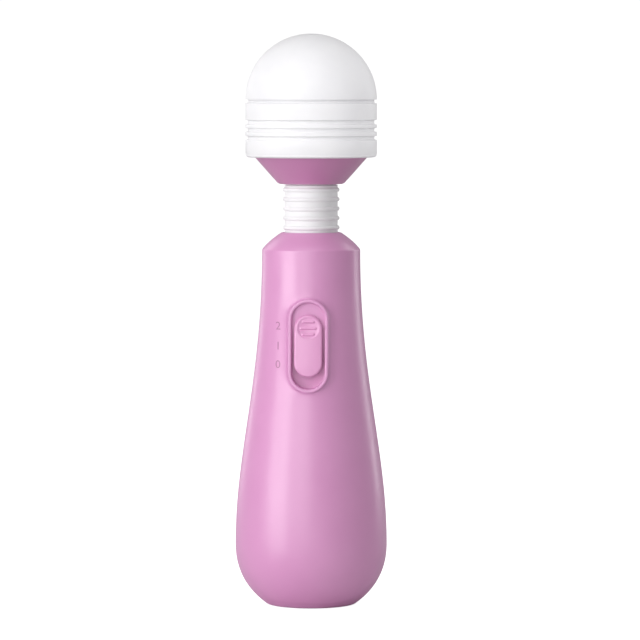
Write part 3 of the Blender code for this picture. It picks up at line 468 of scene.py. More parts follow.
def rounded(corners, steps=5):
    """An open profile of (radius, height, fillet) corners, with each fillet as a short curve."""
    points = [corners[0][:2]]
    for before, corner, after in zip(corners, corners[1:], corners[2:]):
        size = corner[2] if len(corner) > 2 else 0.0
        here = Vector(corner[:2])
        if not size:
            points.append(tuple(here))
            continue
        back, ahead = Vector(before[:2]) - here, Vector(after[:2]) - here
        start = here + back.normalized() * min(size, back.length * 0.49)
        end = here + ahead.normalized() * min(size, ahead.length * 0.49)
        for i in range(steps + 1):
            t = i / steps
            points.append(tuple(start * (1 - t) ** 2 + here * 2 * t * (1 - t) + end * t * t))
    points.append(corners[-1][:2])
    return points


def arc(radius, start, end, steps, height=0.0):
    """(radius, height) points on an arc about the axis, angles in degrees above the level."""
    angles = [math.radians(start + (end - start) * i / steps) for i in range(steps + 1)]
    return [(radius * math.cos(a), height + radius * math.sin(a)) for a in angles]


def turned(name, profile, material, sides=160, ring=False, sharp=35.0):
    """A solid of revolution. A ring's profile is a closed loop, and any other starts and ends on the axis."""
    skin = Skin()
    rows = [[(r * math.sin(2 * math.pi * i / sides), -r * math.cos(2 * math.pi * i / sides), z)
             for i in range(sides)] for r, z in profile]
    first = skin.row(rows[0])
    last = skin.loops(rows[1:], first)
    if ring:
        skin.strip(last, first, True)
    return skin.build(name, material, sharp)


# ---------------------------------------------------------------- handle shells

STEP = 0.1
RADII = [skin_radius(i * STEP) for i in range(int(SHOULDER_TOP / STEP) + 2)]


def radius_at(z):
    """Outer radius of the handle, read from the worked-out curve."""
    place = min(max(z, 0.0), SHOULDER_TOP - 0.01) / STEP
    low = int(place)
    return RADII[low] + (RADII[low + 1] - RADII[low]) * (place - low)


def depth_at(x, z, inset=0.0):
    """Distance of the skin from the seam plane at a place seen straight on."""
    return math.sqrt(max((radius_at(z) - inset) ** 2 - x * x, 0.04))


def ring_point(place, core, radius):
    """The point at a distance from a core rectangle, in the direction of a place outside it."""
    near = Vector((min(max(place[0], -core[0]), core[0]), min(max(place[1], -core[1]), core[1])))
    away = Vector(place) - near
    return near + away.normalized() * radius


WAIST_STATIONS = 76
FOOT_STATIONS = 18
COLUMNS = [-90, -89.5, -88.8, -87.6] + [-86 + 172 * i / 110 for i in range(111)] + [87.6, 88.8, 89.5, 90]
EDGE_ROUND = {0: 0.14, 1: 0.045, len(COLUMNS) - 2: 0.045, len(COLUMNS) - 1: 0.14}


def even_angle(angle, z):
    """On the front, the columns keep their angle all the way up."""
    return math.radians(angle)


def upright_angle(angle, z):
    """On the back, the columns beside the battery door run straight up, as its sides do."""
    even = math.radians(angle)
    reach = 25.0 * math.sin(abs(even)) / radius_at(z)
    upright = math.asin(min(reach, 0.97))
    share = (1 - smoothstep(44, 60, abs(angle))) * smoothstep(3, 9, z) * (1 - smoothstep(68, 86, z))
    return math.copysign(abs(even) * (1 - share) + upright * share, even)


def stations():
    """(outside, inside) profile points, in pairs, from just under the crease to near the foot."""
    pairs = []
    for i in range(WAIST_STATIONS):
        z = CREASE_Z - 0.7 + (BELLY_Z - CREASE_Z + 0.7) * i / WAIST_STATIONS
        r = skin_radius(z)
        pairs.append(((r, z), (r - WALL, z)))
    for i in range(FOOT_STATIONS):
        t = 0.86 * i / (FOOT_STATIONS - 1)
        here, ahead = Vector(bezier(FOOT_CURVE, t)), Vector(bezier(FOOT_CURVE, t + 0.01))
        along = (ahead - here).normalized()
        pairs.append((tuple(here), (here.x + WALL * along.y, here.y - WALL * along.x)))
    return pairs


def casing_rows():
    """The whole cross-section as one closed loop, and where the outer and inner stations are in it."""
    pairs = stations()
    bore = SLEEVE_R + 0.3
    shoulder = [(*bezier(SHOULDER_CURVE, i / 24), 0.0) for i in range(1, 24)]
    top = rounded([(bore, SHOULDER_TOP - LIP_T), (bore, SHOULDER_TOP, 0.35)] + shoulder
                  + [(WAIST_R, CREASE_Z, 0.55), pairs[0][0]])
    foot = rounded([pairs[-1][0], (*bezier(FOOT_CURVE, 0.93), 0.0), (FOOT_R, 0.0, 0.7), (12.0, 0.0), (8.0, 0.0),
                    (4.0, 0.0), (0.0, 0.0)])[1:]
    floor = [(0.0, 2.5), (6.0, 2.5), (12.0, 2.5), (pairs[-1][1][0] - 0.4, 2.5)]
    crown = [(WAIST_R - WALL, CREASE_Z - 0.2), (SLEEVE_R + 4.4, SHOULDER_TOP - 4.6), (SLEEVE_R + 2.0, SHOULDER_TOP - LIP_T)]
    outer = [p[0] for p in pairs]
    inner = [p[1] for p in reversed(pairs)]
    rows = top[:-1] + outer + foot + floor + inner + crown
    start_out = len(top) - 1
    start_in = start_out + len(outer) + len(foot) + len(floor)
    out_row = {i: start_out + i for i in range(len(pairs))}
    in_row = {i: start_in + len(pairs) - 1 - i for i in range(len(pairs))}
    return rows, pairs, out_row, in_row


def half_shell(name, facing, turn, openings, extra=None):
    """One half of the casing. facing is -1 for the front. Each opening is a patch in the skin and the inside."""
    rows, pairs, out_row, in_row = casing_rows()
    skin = Skin()
    grid = []
    for number, (r, z) in enumerate(rows):
        points = []
        for k, angle in enumerate(COLUMNS):
            a = turn(angle, z)
            rounding = EDGE_ROUND.get(k, 0.0) if number <= out_row[len(pairs) - 1] + 12 and r > 1 else 0.0
            flat = max(r * math.cos(a), SEAM if k in (0, len(COLUMNS) - 1) else SEAM + 0.02)
            points.append(((r - rounding) * math.sin(a), facing * (flat if r > 0 else SEAM), z))
        grid.append(skin.row(points))
    skipped = set()
    for opening in openings:
        cut_opening(skin, grid, pairs, out_row, in_row, facing, opening, skipped)
    count = len(rows)
    for i in range(count):
        j = (i + 1) % count
        for k in range(len(COLUMNS) - 1):
            if (i, k) not in skipped:
                skin.faces.append((grid[i][k], grid[i][k + 1], grid[j][k + 1], grid[j][k]))
    skin.cap([grid[i][0] for i in range(count)])
    skin.cap([grid[i][-1] for i in range(count)])
    if extra:
        extra(skin)
    return skin.build(name, PINK, 32.0)


def cut_opening(skin, grid, pairs, out_row, in_row, facing, opening, skipped):
    """Leaves a rectangle of the skin out, and fills it with loops that close in on the opening's outline."""
    x_low, x_high, z_low, z_high = opening["frame"]
    top = max(i for i in range(len(pairs)) if pairs[i][0][1] >= z_high)
    foot = min(i for i in range(len(pairs)) if pairs[i][0][1] <= z_low)
    across = [[skin.points[grid[out_row[i]][k]].x for i in range(top, foot + 1)] for k in range(len(COLUMNS))]
    left = max(k for k in range(len(COLUMNS)) if max(across[k]) <= x_low)
    right = min(k for k in range(len(COLUMNS)) if min(across[k]) >= x_high)

    def boundary(row_of):
        ring = [grid[row_of[top]][k] for k in range(left, right)]
        ring += [grid[row_of[i]][right] for i in range(top, foot)]
        ring += [grid[row_of[foot]][k] for k in range(right, left, -1)]
        ring += [grid[row_of[i]][left] for i in range(foot, top, -1)]
        return ring

    for i in range(top, foot):
        for k in range(left, right):
            skipped.add((out_row[i], k))
            skipped.add((in_row[i + 1], k))
    centre = Vector(opening["centre"])
    core = opening["core"]
    outside = boundary(out_row)
    places = [Vector((skin.points[n].x, skin.points[n].z)) - centre for n in outside]

    def loop(radius, depth, share=None, small=None):
        """One ring of points: at a radius from the core, or part of the way out to the frame or in to a smaller core."""
        points = []
        for place in places:
            spot = ring_point(place, core, radius)
            if share is not None:
                spot = spot.lerp(place, share)
            if small is not None:
                inner_core, inner_radius, part = small
                scaled = Vector((place.x, place.y * (inner_core[1] / core[1] if core[1] else 1)))
                near = Vector((0, min(max(ring_point(place, core, 0.0001).y, -core[1]), core[1])
                               * (inner_core[1] / core[1] if core[1] else 1)))
                away = (ring_point(place, core, 1.0) - ring_point(place, core, 0.0)).normalized()
                spot = spot.lerp(near + away * inner_radius, part)
            x, z = spot + centre
            points.append((x, facing * depth(x, z), z))
        return points

    last = skin.loops(opening["loops"](loop), outside)
    inside = boundary(in_row)
    skin.strip(last, inside, True)


# ---------------------------------------------------------------- switch bezel

BEZEL_R = BEZEL_W / 2
BEZEL_CORE = (0.0, (BEZEL_L - BEZEL_W) / 2)
RIM_HIGH_Z = SWITCH_Z + BEZEL_L / 2
RIM_LOW_Z = SWITCH_Z - BEZEL_L / 2
FLOOR_Y = radius_at(RIM_HIGH_Z) + 0.1
SLOT_R = 1.9
SLOT_CORE = (0.0, 4.8)
RIM_CROWN = 0.3  # how much of the handle's roundness the rim's top follows


def rim_depth(x, z, lift=0.0):
    """Depth of the rim's top, on a plane that slopes with the handle and rounds a little with it."""
    t = (z - RIM_LOW_Z) / BEZEL_L
    middle = radius_at(RIM_LOW_Z) * (1 - t) + radius_at(RIM_HIGH_Z) * t
    sag = radius_at(z) - depth_at(x, z)
    return middle + RIM_PROUD + lift - RIM_CROWN * sag


# (distance outside the rim's edge, share of the way from the skin up to the rim's top)
FLANK = ((3.0, 0.0), (2.2, 0.015), (1.5, 0.05), (1.0, 0.1), (0.65, 0.16), (0.4, 0.25), (0.22, 0.39), (0.1, 0.55),
         (0.0, 0.71), (-0.08, 0.84), (-0.17, 0.93), (-0.28, 0.985), (-0.42, 1.0))
RIM_TOP = ((-0.7, 0.0), (-0.9, -0.02), (-1.06, -0.08), (-1.18, -0.18), (-1.28, -0.34))  # then height under the top


def bezel_loops(loop):
    rings = [loop(BEZEL_R + 3.0, depth_at, share=s) for s in (0.82, 0.62, 0.45, 0.31, 0.2, 0.11, 0.05)]
    for out, share in FLANK:
        rings.append(loop(BEZEL_R + out, lambda x, z, s=share: depth_at(x, z) * (1 - s) + rim_depth(x, z) * s))
    for out, under in RIM_TOP:
        rings.append(loop(BEZEL_R + out, lambda x, z, u=under: max(rim_depth(x, z) + u, FLOOR_Y + 0.1)))
    wall = BEZEL_R - RIM_T
    for share in (0.05, 0.3, 0.6, 0.85, 0.95):
        rings.append(loop(wall, lambda x, z, s=share: max(rim_depth(x, z) - 0.55, FLOOR_Y + 0.08) * (1 - s)
                          + (FLOOR_Y + 0.06) * s))
    rings.append(loop(wall - 0.06, lambda x, z: FLOOR_Y + 0.02))
    rings.append(loop(wall - 0.16, lambda x, z: FLOOR_Y))
    for part in (0.15, 0.35, 0.55, 0.75, 0.9, 1.0):
        rings.append(loop(wall - 0.16, lambda x, z: FLOOR_Y, small=(SLOT_CORE, SLOT_R, part)))
    back = FLOOR_Y - FLOOR_T
    rings.append(loop(wall - 0.16, lambda x, z: back, small=(SLOT_CORE, SLOT_R, 1.0)))
    for part in (0.7, 0.3, 0.0):
        rings.append(loop(wall - 0.16, lambda x, z: back, small=(SLOT_CORE, SLOT_R, part)))
    rings.append(loop(BEZEL_R - 0.2, lambda x, z: back))
    rings.append(loop(BEZEL_R + 0.4, lambda x, z: depth_at(x, z, WALL)))
    rings.append(loop(BEZEL_R + 3.0, lambda x, z: depth_at(x, z, WALL), share=0.3))
    return rings


def front_shell():
    bezel = {"frame": (-14.2, 14.2, RIM_LOW_Z - 9.0, RIM_HIGH_Z + 9.0), "centre": (0.0, SWITCH_Z), "core": BEZEL_CORE,
             "loops": bezel_loops}
    shell = half_shell("front_shell_moulding", -1, even_angle, [bezel])
    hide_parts("front_shell")
    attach(shell, "handle")


# ---------------------------------------------------------------- rear shell and battery door

DOOR_LOW, DOOR_HIGH = box_mm("battery_door")
DOOR_FOOT_Z = DOOR_LOW.z + 1.2
DOOR_TOP_Z = DOOR_HIGH.z
DOOR_HALF = (DOOR_HIGH.x - DOOR_LOW.x) / 2
DOOR_CENTRE = (0.0, (DOOR_TOP_Z + DOOR_FOOT_Z) / 2)
DOOR_CORNER = 3.0
DOOR_CORE = (DOOR_HALF - DOOR_CORNER, (DOOR_TOP_Z - DOOR_FOOT_Z) / 2 - DOOR_CORNER)
DOOR_GAP = 0.3
HOOK_HALF = 4.0
DOOR_HOOK_Y = skin_radius(DOOR_FOOT_Z - 1.2) - 1.25 * WALL - 2 * DOOR_GAP


def edge_loops(loop, radius, reach):
    """From the frame in to a hole's rounded edge, down through the wall and out again inside."""
    rings = [loop(radius + reach, depth_at, share=0.5), loop(radius + reach, depth_at)]
    rings += [loop(radius + out, lambda x, z, d=down: depth_at(x, z) - d)
              for out, down in ((0.15, 0.03), (0.05, 0.1), (0.0, 0.24))]
    rings.append(loop(radius, lambda x, z: (depth_at(x, z) + depth_at(x, z, WALL)) / 2))
    rings.append(loop(radius, lambda x, z: depth_at(x, z, WALL) + 0.02))
    rings.append(loop(radius + 0.5, lambda x, z: depth_at(x, z, WALL)))
    return rings


SCREW_NODES = [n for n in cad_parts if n.startswith("shell_screw")]
SINK_R = 2.4


def boss(skin, x, z, seat):
    """A screw boss: a counterbored tube from just under the skin to the seam plane."""
    sides = 40
    outer, bore = 3.3, 1.55

    def circle(radius, depth):
        return [(x + radius * math.cos(2 * math.pi * i / sides), depth(x + radius * math.cos(2 * math.pi * i / sides),
                 z + radius * math.sin(2 * math.pi * i / sides)), z + radius * math.sin(2 * math.pi * i / sides))
                for i in range(sides)]

    under = lambda px, pz: max(depth_at(px, pz) - WALL + 0.2, seat + 0.5)
    rows = [circle(outer, under), circle(SINK_R, under), circle(SINK_R, lambda px, pz: seat + 0.2),
            circle(SINK_R - 0.15, lambda px, pz: seat), circle(bore, lambda px, pz: seat),
            circle(bore, lambda px, pz: SEAM), circle(outer, lambda px, pz: SEAM)]
    first = skin.row(rows[0])
    skin.strip(skin.loops(rows[1:], first), first, True)


def rear_shell():
    side = DOOR_HALF + 1.35
    openings = [{"frame": (-side, side, DOOR_FOOT_Z - 1.6, DOOR_TOP_Z + 2.4), "centre": DOOR_CENTRE,
                 "core": DOOR_CORE, "loops": lambda loop: edge_loops(loop, DOOR_CORNER + DOOR_GAP, 0.7)}]
    places = []
    for name in SCREW_NODES:
        low, high = box_mm(name)
        x, z = (low.x + high.x) / 2, (low.z + high.z) / 2
        places.append((x, z, high.y - 1.6 - 0.3))
        openings.append({"frame": (x - 2.9, x + 2.9, z - 3.4, z + 3.4), "centre": (x, z), "core": (0.0, 0.0),
                         "loops": lambda loop: edge_loops(loop, SINK_R, 0.3)})
    shell = half_shell("rear_shell_moulding", 1, upright_angle, openings,
                       lambda skin: [boss(skin, *p) for p in places])
    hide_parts("rear_shell")
    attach(shell, "handle")


def outline(core, radius, count_side, count_corner):
    """Places round a rounded rectangle, evenly along its sides and corners."""
    a, b = core
    places = []
    for corner, (sx, sz) in enumerate(((1, 1), (-1, 1), (-1, -1), (1, -1))):
        for i in range(count_corner):
            angle = math.radians(90 * corner + 90 * i / count_corner)
            places.append(Vector((sx * a + radius * math.cos(angle), sz * b + radius * math.sin(angle))))
        start = Vector((sx * a + radius * math.cos(math.radians(90 * corner + 90)),
                        sz * b + radius * math.sin(math.radians(90 * corner + 90))))
        next_x, next_z = ((-1, 1), (-1, -1), (1, -1), (1, 1))[corner]
        end = Vector((next_x * a + radius * math.cos(math.radians(90 * corner + 90)),
                      next_z * b + radius * math.sin(math.radians(90 * corner + 90))))
        side = count_side[corner % 2]
        places += [start.lerp(end, i / side) for i in range(side)]
    return places


def battery_door():
    """A curved panel with a rounded edge, and a hook inside its lower edge."""
    skin = Skin()
    places = outline(DOOR_CORE, DOOR_CORNER, (40, 64), 10)
    centre = Vector(DOOR_CENTRE)

    def ring(inset, depth, share=1.0):
        points = []
        for place in places:
            spot = ring_point(place, DOOR_CORE, max(DOOR_CORNER - inset, 0.01)) * share
            x, z = spot + centre
            points.append((x, depth(x, z), z))
        return points

    outside = [ring(i, lambda x, z, d=d: depth_at(x, z) - d) for i, d in ((0.0, 0.3), (0.05, 0.12), (0.16, 0.03),
                                                                          (0.35, 0.0), (0.9, 0.0))]
    shares = [1 - i / 26 for i in range(1, 26)] + [0.0]
    outside += [ring(0.9, depth_at, s) for s in shares]
    first = skin.row(outside[0])
    skin.loops(outside[1:], first)
    inside = [ring(0.0, lambda x, z: depth_at(x, z, WALL) + 0.1), ring(0.3, lambda x, z: depth_at(x, z, WALL))]
    inside += [ring(0.3, lambda x, z: depth_at(x, z, WALL), s) for s in [1 - i / 12 for i in range(1, 12)] + [0.0]]
    skin.loops(inside, first)
    face = DOOR_HOOK_Y
    block_skin(skin, (-HOOK_HALF, face - 1.6, DOOR_LOW.z), (HOOK_HALF, face, DOOR_FOOT_Z + 2.0))
    web_y = depth_at(HOOK_HALF, DOOR_FOOT_Z) - 0.6
    block_skin(skin, (-HOOK_HALF, face - 0.8, DOOR_FOOT_Z + 0.6), (HOOK_HALF, web_y, DOOR_FOOT_Z + 2.0), 0.1)
    door = skin.build("battery_door_panel", PINK, 32.0)
    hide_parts("battery_door")
    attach(door, "battery_door")


def block_skin(skin, low, high, soft=0.25):
    """A box with its long edges eased, as a separate closed body of the same piece."""
    rows = []
    for y, inset in ((low[1], soft), (low[1] + soft, 0.0), (high[1] - soft, 0.0), (high[1], soft)):
        rows.append([(low[0] + inset, y, low[2] + inset), (high[0] - inset, y, low[2] + inset),
                     (high[0] - inset, y, high[2] - inset), (low[0] + inset, y, high[2] - inset)])
    first = skin.row(rows[0])
    skin.cap(first)
    skin.cap(skin.loops(rows[1:], first))


# ---------------------------------------------------------------- geometry nodes

def new_tree(name, sizes):
    """An empty geometry tree with its named inputs, its entry and its material input."""
    tree = bpy.data.node_groups.new(name, "GeometryNodeTree")
    tree.interface.new_socket("Geometry", in_out="INPUT", socket_type="NodeSocketGeometry")
    for label, kind in sizes.items():
        tree.interface.new_socket(label, in_out="INPUT", socket_type="NodeSocket" + kind)
    tree.interface.new_socket("Finish", in_out="INPUT", socket_type="NodeSocketMaterial")
    tree.interface.new_socket("Geometry", in_out="OUTPUT", socket_type="NodeSocketGeometry")
    return tree, tree.nodes.new("NodeGroupInput").outputs


def close_tree(tree, entry, geometry):
    """Ends a tree in real geometry with its material on it."""
    real = add(tree, "GeometryNodeRealizeInstances", Geometry=geometry)
    painted = add(tree, "GeometryNodeSetMaterial", Geometry=real.outputs["Geometry"], Material=entry["Finish"])
    add(tree, "NodeGroupOutput", Geometry=painted.outputs["Geometry"])
    return tree


def grow(name, tree, material, start=None, sharp=35.0, weld=0.002, **values):
    """Runs a geometry tree on a starting mesh and keeps the result as a plain, finished piece."""
    base = bpy.data.objects.new(name + "_base", start or bpy.data.meshes.new(name + "_base"))
    bpy.context.scene.collection.objects.link(base)
    modifier = base.modifiers.new("grow", "NODES")
    modifier.node_group = tree
    sockets = {item.name: item.identifier for item in tree.interface.items_tree if item.in_out == "INPUT"}
    modifier[sockets["Finish"]] = material
    for label, value in values.items():
        modifier[sockets[label.replace("_", " ")]] = value
    mesh = bpy.data.meshes.new_from_object(base.evaluated_get(bpy.context.evaluated_depsgraph_get()))
    base.modifiers.remove(modifier)
    bpy.data.objects.remove(base)
    mesh.name = name
    return settle(mesh, name, material, sharp, weld)


def wound_wire_tree():
    """A coil of wire about Z, from one radius to another, that starts at an angle and a height."""
    tree, entry = new_tree("wound_wire", {"Turns": "Float", "Start radius": "Float", "End radius": "Float",
                                          "Rise": "Float", "Wire radius": "Float", "Foot": "Vector",
                                          "Start angle": "Vector", "Steps": "Int"})
    coil = add(tree, "GeometryNodeCurveSpiral", Resolution=entry["Steps"], Rotations=entry["Turns"],
               Start_Radius=entry["Start radius"], End_Radius=entry["End radius"], Height=entry["Rise"])
    section = add(tree, "GeometryNodeCurvePrimitiveCircle", Resolution=14, Radius=entry["Wire radius"])
    wire = add(tree, "GeometryNodeCurveToMesh", Curve=coil.outputs["Curve"], Profile_Curve=section.outputs["Curve"],
               Fill_Caps=True)
    placed = add(tree, "GeometryNodeTransform", Geometry=wire.outputs["Mesh"], Translation=entry["Foot"],
                 Rotation=entry["Start angle"])
    return close_tree(tree, entry, placed.outputs["Geometry"])


def stacked_tree():
    """Copies of the starting mesh in a row, a fixed step apart."""
    tree, entry = new_tree("stacked_ribs", {"Count": "Int", "Step": "Vector"})
    line = add(tree, "GeometryNodeMeshLine", Count=entry["Count"], Offset=entry["Step"])
    copies = add(tree, "GeometryNodeInstanceOnPoints", Points=line.outputs["Mesh"], Instance=entry["Geometry"])
    return close_tree(tree, entry, copies.outputs["Instances"])


def driven_tree(axis):
    """Copies of a unit mesh on the points of the starting mesh, each turned a different amount about an axis."""
    tree, entry = new_tree("driven_screws", {"Unit": "Object", "Seed": "Int"})
    unit = add(tree, "GeometryNodeObjectInfo", Object=entry["Unit"])
    turn = add(tree, "FunctionNodeRandomValue", {"data_type": "FLOAT_VECTOR"}, _0=(0, 0, 0),
               _1=tuple(1.2 * a for a in axis), Seed=entry["Seed"])
    copies = add(tree, "GeometryNodeInstanceOnPoints", Points=entry["Geometry"], Instance=unit.outputs["Geometry"],
                 Rotation=turn.outputs["Value"])
    return close_tree(tree, entry, copies.outputs["Instances"])


WOUND_WIRE = wound_wire_tree()
STACKED = stacked_tree()


def plain_mesh(name, skin):
    mesh = bpy.data.meshes.new(name)
    mesh.from_pydata([p * MM for p in skin.points], [], skin.faces)
    return mesh


def merge(name, material, *pieces, sharp=35.0):
    """Joins finished pieces into one, each still its own closed body."""
    shape = bmesh.new()
    for piece in pieces:
        shape.from_mesh(piece.data)
        bpy.data.objects.remove(piece)
    mesh = bpy.data.meshes.new(name)
    shape.to_mesh(mesh)
    shape.free()
    return settle(mesh, name, material, sharp)


# ---------------------------------------------------------------- switch knob

KNOB_R = KNOB_W / 2
KNOB_CORE = (0.0, (KNOB_L - KNOB_W) / 2)
KNOB_CROWN = 0.35
DISH_R = 3.8
DISH_DEPTH = 0.6
DISH_Z = SWITCH_Z + 6.2
STEM_W = 3.2
STEM_L = 4.4
# (height above the dish's middle, half length, how far the ends curve down)
RIDGES = ((1.85, 2.3, 0.25), (-0.2, 3.0, 0.0), (-2.2, 2.4, -0.25))
RIDGE_H = 0.5


def knob_face(x, z):
    """Depth of the knob's face: a crowned top, with a round dish and three ridges for the thumb in it."""
    flank = (x / KNOB_R) ** 2
    ends = max(abs(z - SWITCH_Z) - KNOB_CORE[1], 0.0) / KNOB_R
    face = rim_depth(0.0, z, KNOB_PROUD) - KNOB_CROWN * min(flank + ends * ends, 1.0)
    away = math.hypot(x, z - DISH_Z) / DISH_R
    bowl = DISH_DEPTH * (1 - away ** 2) if away < 1 else 0.0
    bowl = max(bowl, 0.0) + 0.12 * (1 - smoothstep(0.9, 1.0, away))
    ridge = 0.0
    for rise, half, bend in RIDGES:
        line = DISH_Z + rise + bend * (1 - (x / half) ** 2 if abs(x) < half else 0.0)
        below = (z - line) / (0.38 if z < line else 0.95)
        along = 1 - smoothstep(half - 0.7, half + 0.1, abs(x))
        ridge = max(ridge, (1 - smoothstep(0.0, 1.0, abs(below))) * along)
    return face - bowl + RIDGE_H * ridge


def switch_knob():
    """The slide's thumb piece: a rounded bar with a dished grip and a stem through the slot."""
    skin = Skin()
    places = outline(KNOB_CORE, KNOB_R, (1, 90), 52)
    back = FLOOR_Y + 0.3

    def ring(inset, depth):
        points = []
        for place in places:
            x, z = ring_point(place, KNOB_CORE, max(KNOB_R - inset, 0.001))
            z += SWITCH_Z
            points.append((x, -depth(x, z), z))
        return points

    edge = [(0.62 * (1 - math.cos(a)), 0.62 * (1 - math.sin(a))) for a in
            [math.radians(15 * i) for i in range(7)]]
    rows = [ring(0.25, lambda x, z: back), ring(0.05, lambda x, z: back + 0.06), ring(0.0, lambda x, z: back + 0.25)]
    rows += [ring(inset, lambda x, z, d=down: max(knob_face(x, z) - d, back + 0.3)) for inset, down in edge]
    inset = 0.62
    while inset < KNOB_R:
        inset += 0.13
        rows.append(ring(min(inset, KNOB_R), knob_face))
    first = skin.row(rows[0])
    skin.loops(rows[1:], first)
    middle = [ring(i, lambda x, z: back) for i in (1.5, 3.0, KNOB_R)]
    skin.loops(middle, first)
    can = -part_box("switch_can")[0][1] / MM
    half_w, half_l = STEM_W / 2 - 0.25, STEM_L / 2 - 0.2  # eased, to clear the slot's round ends
    fork = 1.0
    for low, high in ((-half_l, -fork), (fork, half_l)):
        block_skin(skin, (-half_w, -back - 0.1, SWITCH_Z + low), (half_w, -can - 1.8, SWITCH_Z + high), 0.15)
    block_skin(skin, (-half_w, -back - 0.1, SWITCH_Z - half_l), (half_w, -can - 3.1, SWITCH_Z + half_l), 0.15)
    knob = skin.build("switch_knob_moulding", KNOB_PINK, 40.0)
    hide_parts("switch_knob")
    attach(knob, "switch")


# ---------------------------------------------------------------- switch marks

MARKS = (("2", 98.7), ("1", 91.8), ("0", 85.4))
MARK_X = -10.7
MARK_H = 2.7
MARK_RAISED = 0.05


def switch_marks():
    """The speed numbers beside the switch. They stand MARK_RAISED proud of the shell,
    in a darker rose that is painted shade: it stands for the shadow held by moulded letters of the body's own pink,
    not for print."""
    shape = bmesh.new()
    for text, z in MARKS:
        curve = bpy.data.curves.new("mark_" + text, "FONT")
        curve.body = text
        curve.size = 1.0
        curve.align_x = "CENTER"
        curve.resolution_u = 6
        curve.extrude = 0.5
        holder = bpy.data.objects.new("mark_" + text, curve)
        bpy.context.scene.collection.objects.link(holder)
        bpy.context.view_layer.update()
        mesh = bpy.data.meshes.new_from_object(holder.evaluated_get(bpy.context.evaluated_depsgraph_get()))
        bpy.data.objects.remove(holder)
        xs = [v.co.x for v in mesh.vertices]
        ys = [v.co.y for v in mesh.vertices]
        scale = MARK_H / (max(ys) - min(ys))
        for v in mesh.vertices:
            x = MARK_X + (v.co.x - (max(xs) + min(xs)) / 2) * scale
            height = z + (v.co.y - (max(ys) + min(ys)) / 2) * scale
            depth = depth_at(x, height) + (MARK_RAISED if v.co.z > 0 else -0.5)
            v.co = Vector((x, -depth, height)) * MM
        shape.from_mesh(mesh)
    mesh = bpy.data.meshes.new("switch_marks")
    shape.to_mesh(mesh)
    shape.free()
    marks = settle(mesh, "switch_marks", MARK_PAINTED_SHADE, 30.0, 0.001)
    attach(marks, "handle")


# ---------------------------------------------------------------- neck

SPLIT_Z = 140.45
NOD = ((0, 0, SHOULDER_TOP + 0.2), (0, 0, 138.9))
SWAY = ((0, 0, SPLIT_Z), (0, 0, COLLAR_Z - 0.2))
RIB_PITCH = NECK_L / 5.08
TOP_RIB_Z = COLLAR_Z - 2.0
SLEEVE_FOOT = SHOULDER_TOP - LIP_T - 0.3 - 2.2
SLEEVE_HEAD = COLLAR_Z + 1.8 + 0.3 + 1.3


def bend_foot(piece):
    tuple([Vector(p) * MM for p in NOD][0])
    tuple([Vector(p) * MM for p in NOD][1])
    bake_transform(piece)


def bend_head(piece):
    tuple([Vector(p) * MM for p in SWAY][0])
    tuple([Vector(p) * MM for p in SWAY][1])
    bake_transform(piece)


def rib_ring():
    """One rounded rib of the sleeve, as a ring that reaches into the tube behind it."""
    depth, half = SLEEVE_RIB_R - SLEEVE_R + 0.1, 0.74
    section = [(SLEEVE_RIB_R - depth + depth * math.cos(a), half * math.sin(a) * (1 + 0.12 * math.cos(a)))
               for a in [math.radians(-90 + 180 * i / 16) for i in range(17)]]
    section += [(SLEEVE_R - 0.5, half), (SLEEVE_R - 0.5, -half)]
    return section


def ribs(name, low_z, count):
    skin = Skin()
    sides = 128
    rows = [[(r * math.sin(2 * math.pi * i / sides), -r * math.cos(2 * math.pi * i / sides), low_z + z)
             for i in range(sides)] for r, z in rib_ring()]
    first = skin.row(rows[0])
    skin.strip(skin.loops(rows[1:], first), first, True)
    return grow(name, STACKED, SLEEVE_WHITE, plain_mesh(name, skin), Count=count, Step=(0, 0, RIB_PITCH * MM))


def neck_sleeve():
    """The ribbed sleeve, in two lengths that meet in a groove."""
    hole = SLEEVE_R - 0.5
    heights = [SHOULDER_TOP + i * (SPLIT_Z - SHOULDER_TOP) / 16 for i in range(17)]
    lip = SHOULDER_TOP - LIP_T - 0.3
    wall = [(SLEEVE_R, z) for z in reversed(heights)]
    lower = wall + [(SLEEVE_R, lip + 0.3), (SLEEVE_R, lip), (SLEEVE_R + 1.7, lip), (SLEEVE_R + 1.7, SLEEVE_FOOT),
                    (SLEEVE_BORE_R, SLEEVE_FOOT)] + [(SLEEVE_BORE_R, z) for z in heights]
    heights = [SPLIT_Z + i * (COLLAR_Z - 0.35 - SPLIT_Z) / 12 for i in range(13)]
    top = rounded([(SLEEVE_R, heights[-1] - 0.5), (SLEEVE_R, heights[-1], 0.3), (hole, heights[-1])])
    upper = [(SLEEVE_BORE_R, SLEEVE_HEAD), (hole + 1.5, SLEEVE_HEAD), (hole + 1.5, COLLAR_Z + 2.1),
             (hole, COLLAR_Z + 2.1)] + list(reversed(top)) + [(SLEEVE_R, z) for z in reversed(heights[:-1])]
    upper += [(SLEEVE_BORE_R, z) for z in heights]
    ribs_below = 3
    tube = turned("sleeve_foot_tube", lower, SLEEVE_WHITE, 128, True)
    rings = ribs("sleeve_foot_ribs", TOP_RIB_Z - 4 * RIB_PITCH, ribs_below)
    foot = merge("neck_sleeve_foot", SLEEVE_WHITE, tube, rings)
    tube = turned("sleeve_head_tube", upper, SLEEVE_WHITE, 128, True)
    rings = ribs("sleeve_head_ribs", TOP_RIB_Z - RIB_PITCH, 2)
    head = merge("neck_sleeve_head", SLEEVE_WHITE, tube, rings)
    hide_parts("neck_sleeve")
    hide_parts("neck_sleeve")
    bend_foot(foot)
    bend_head(head)


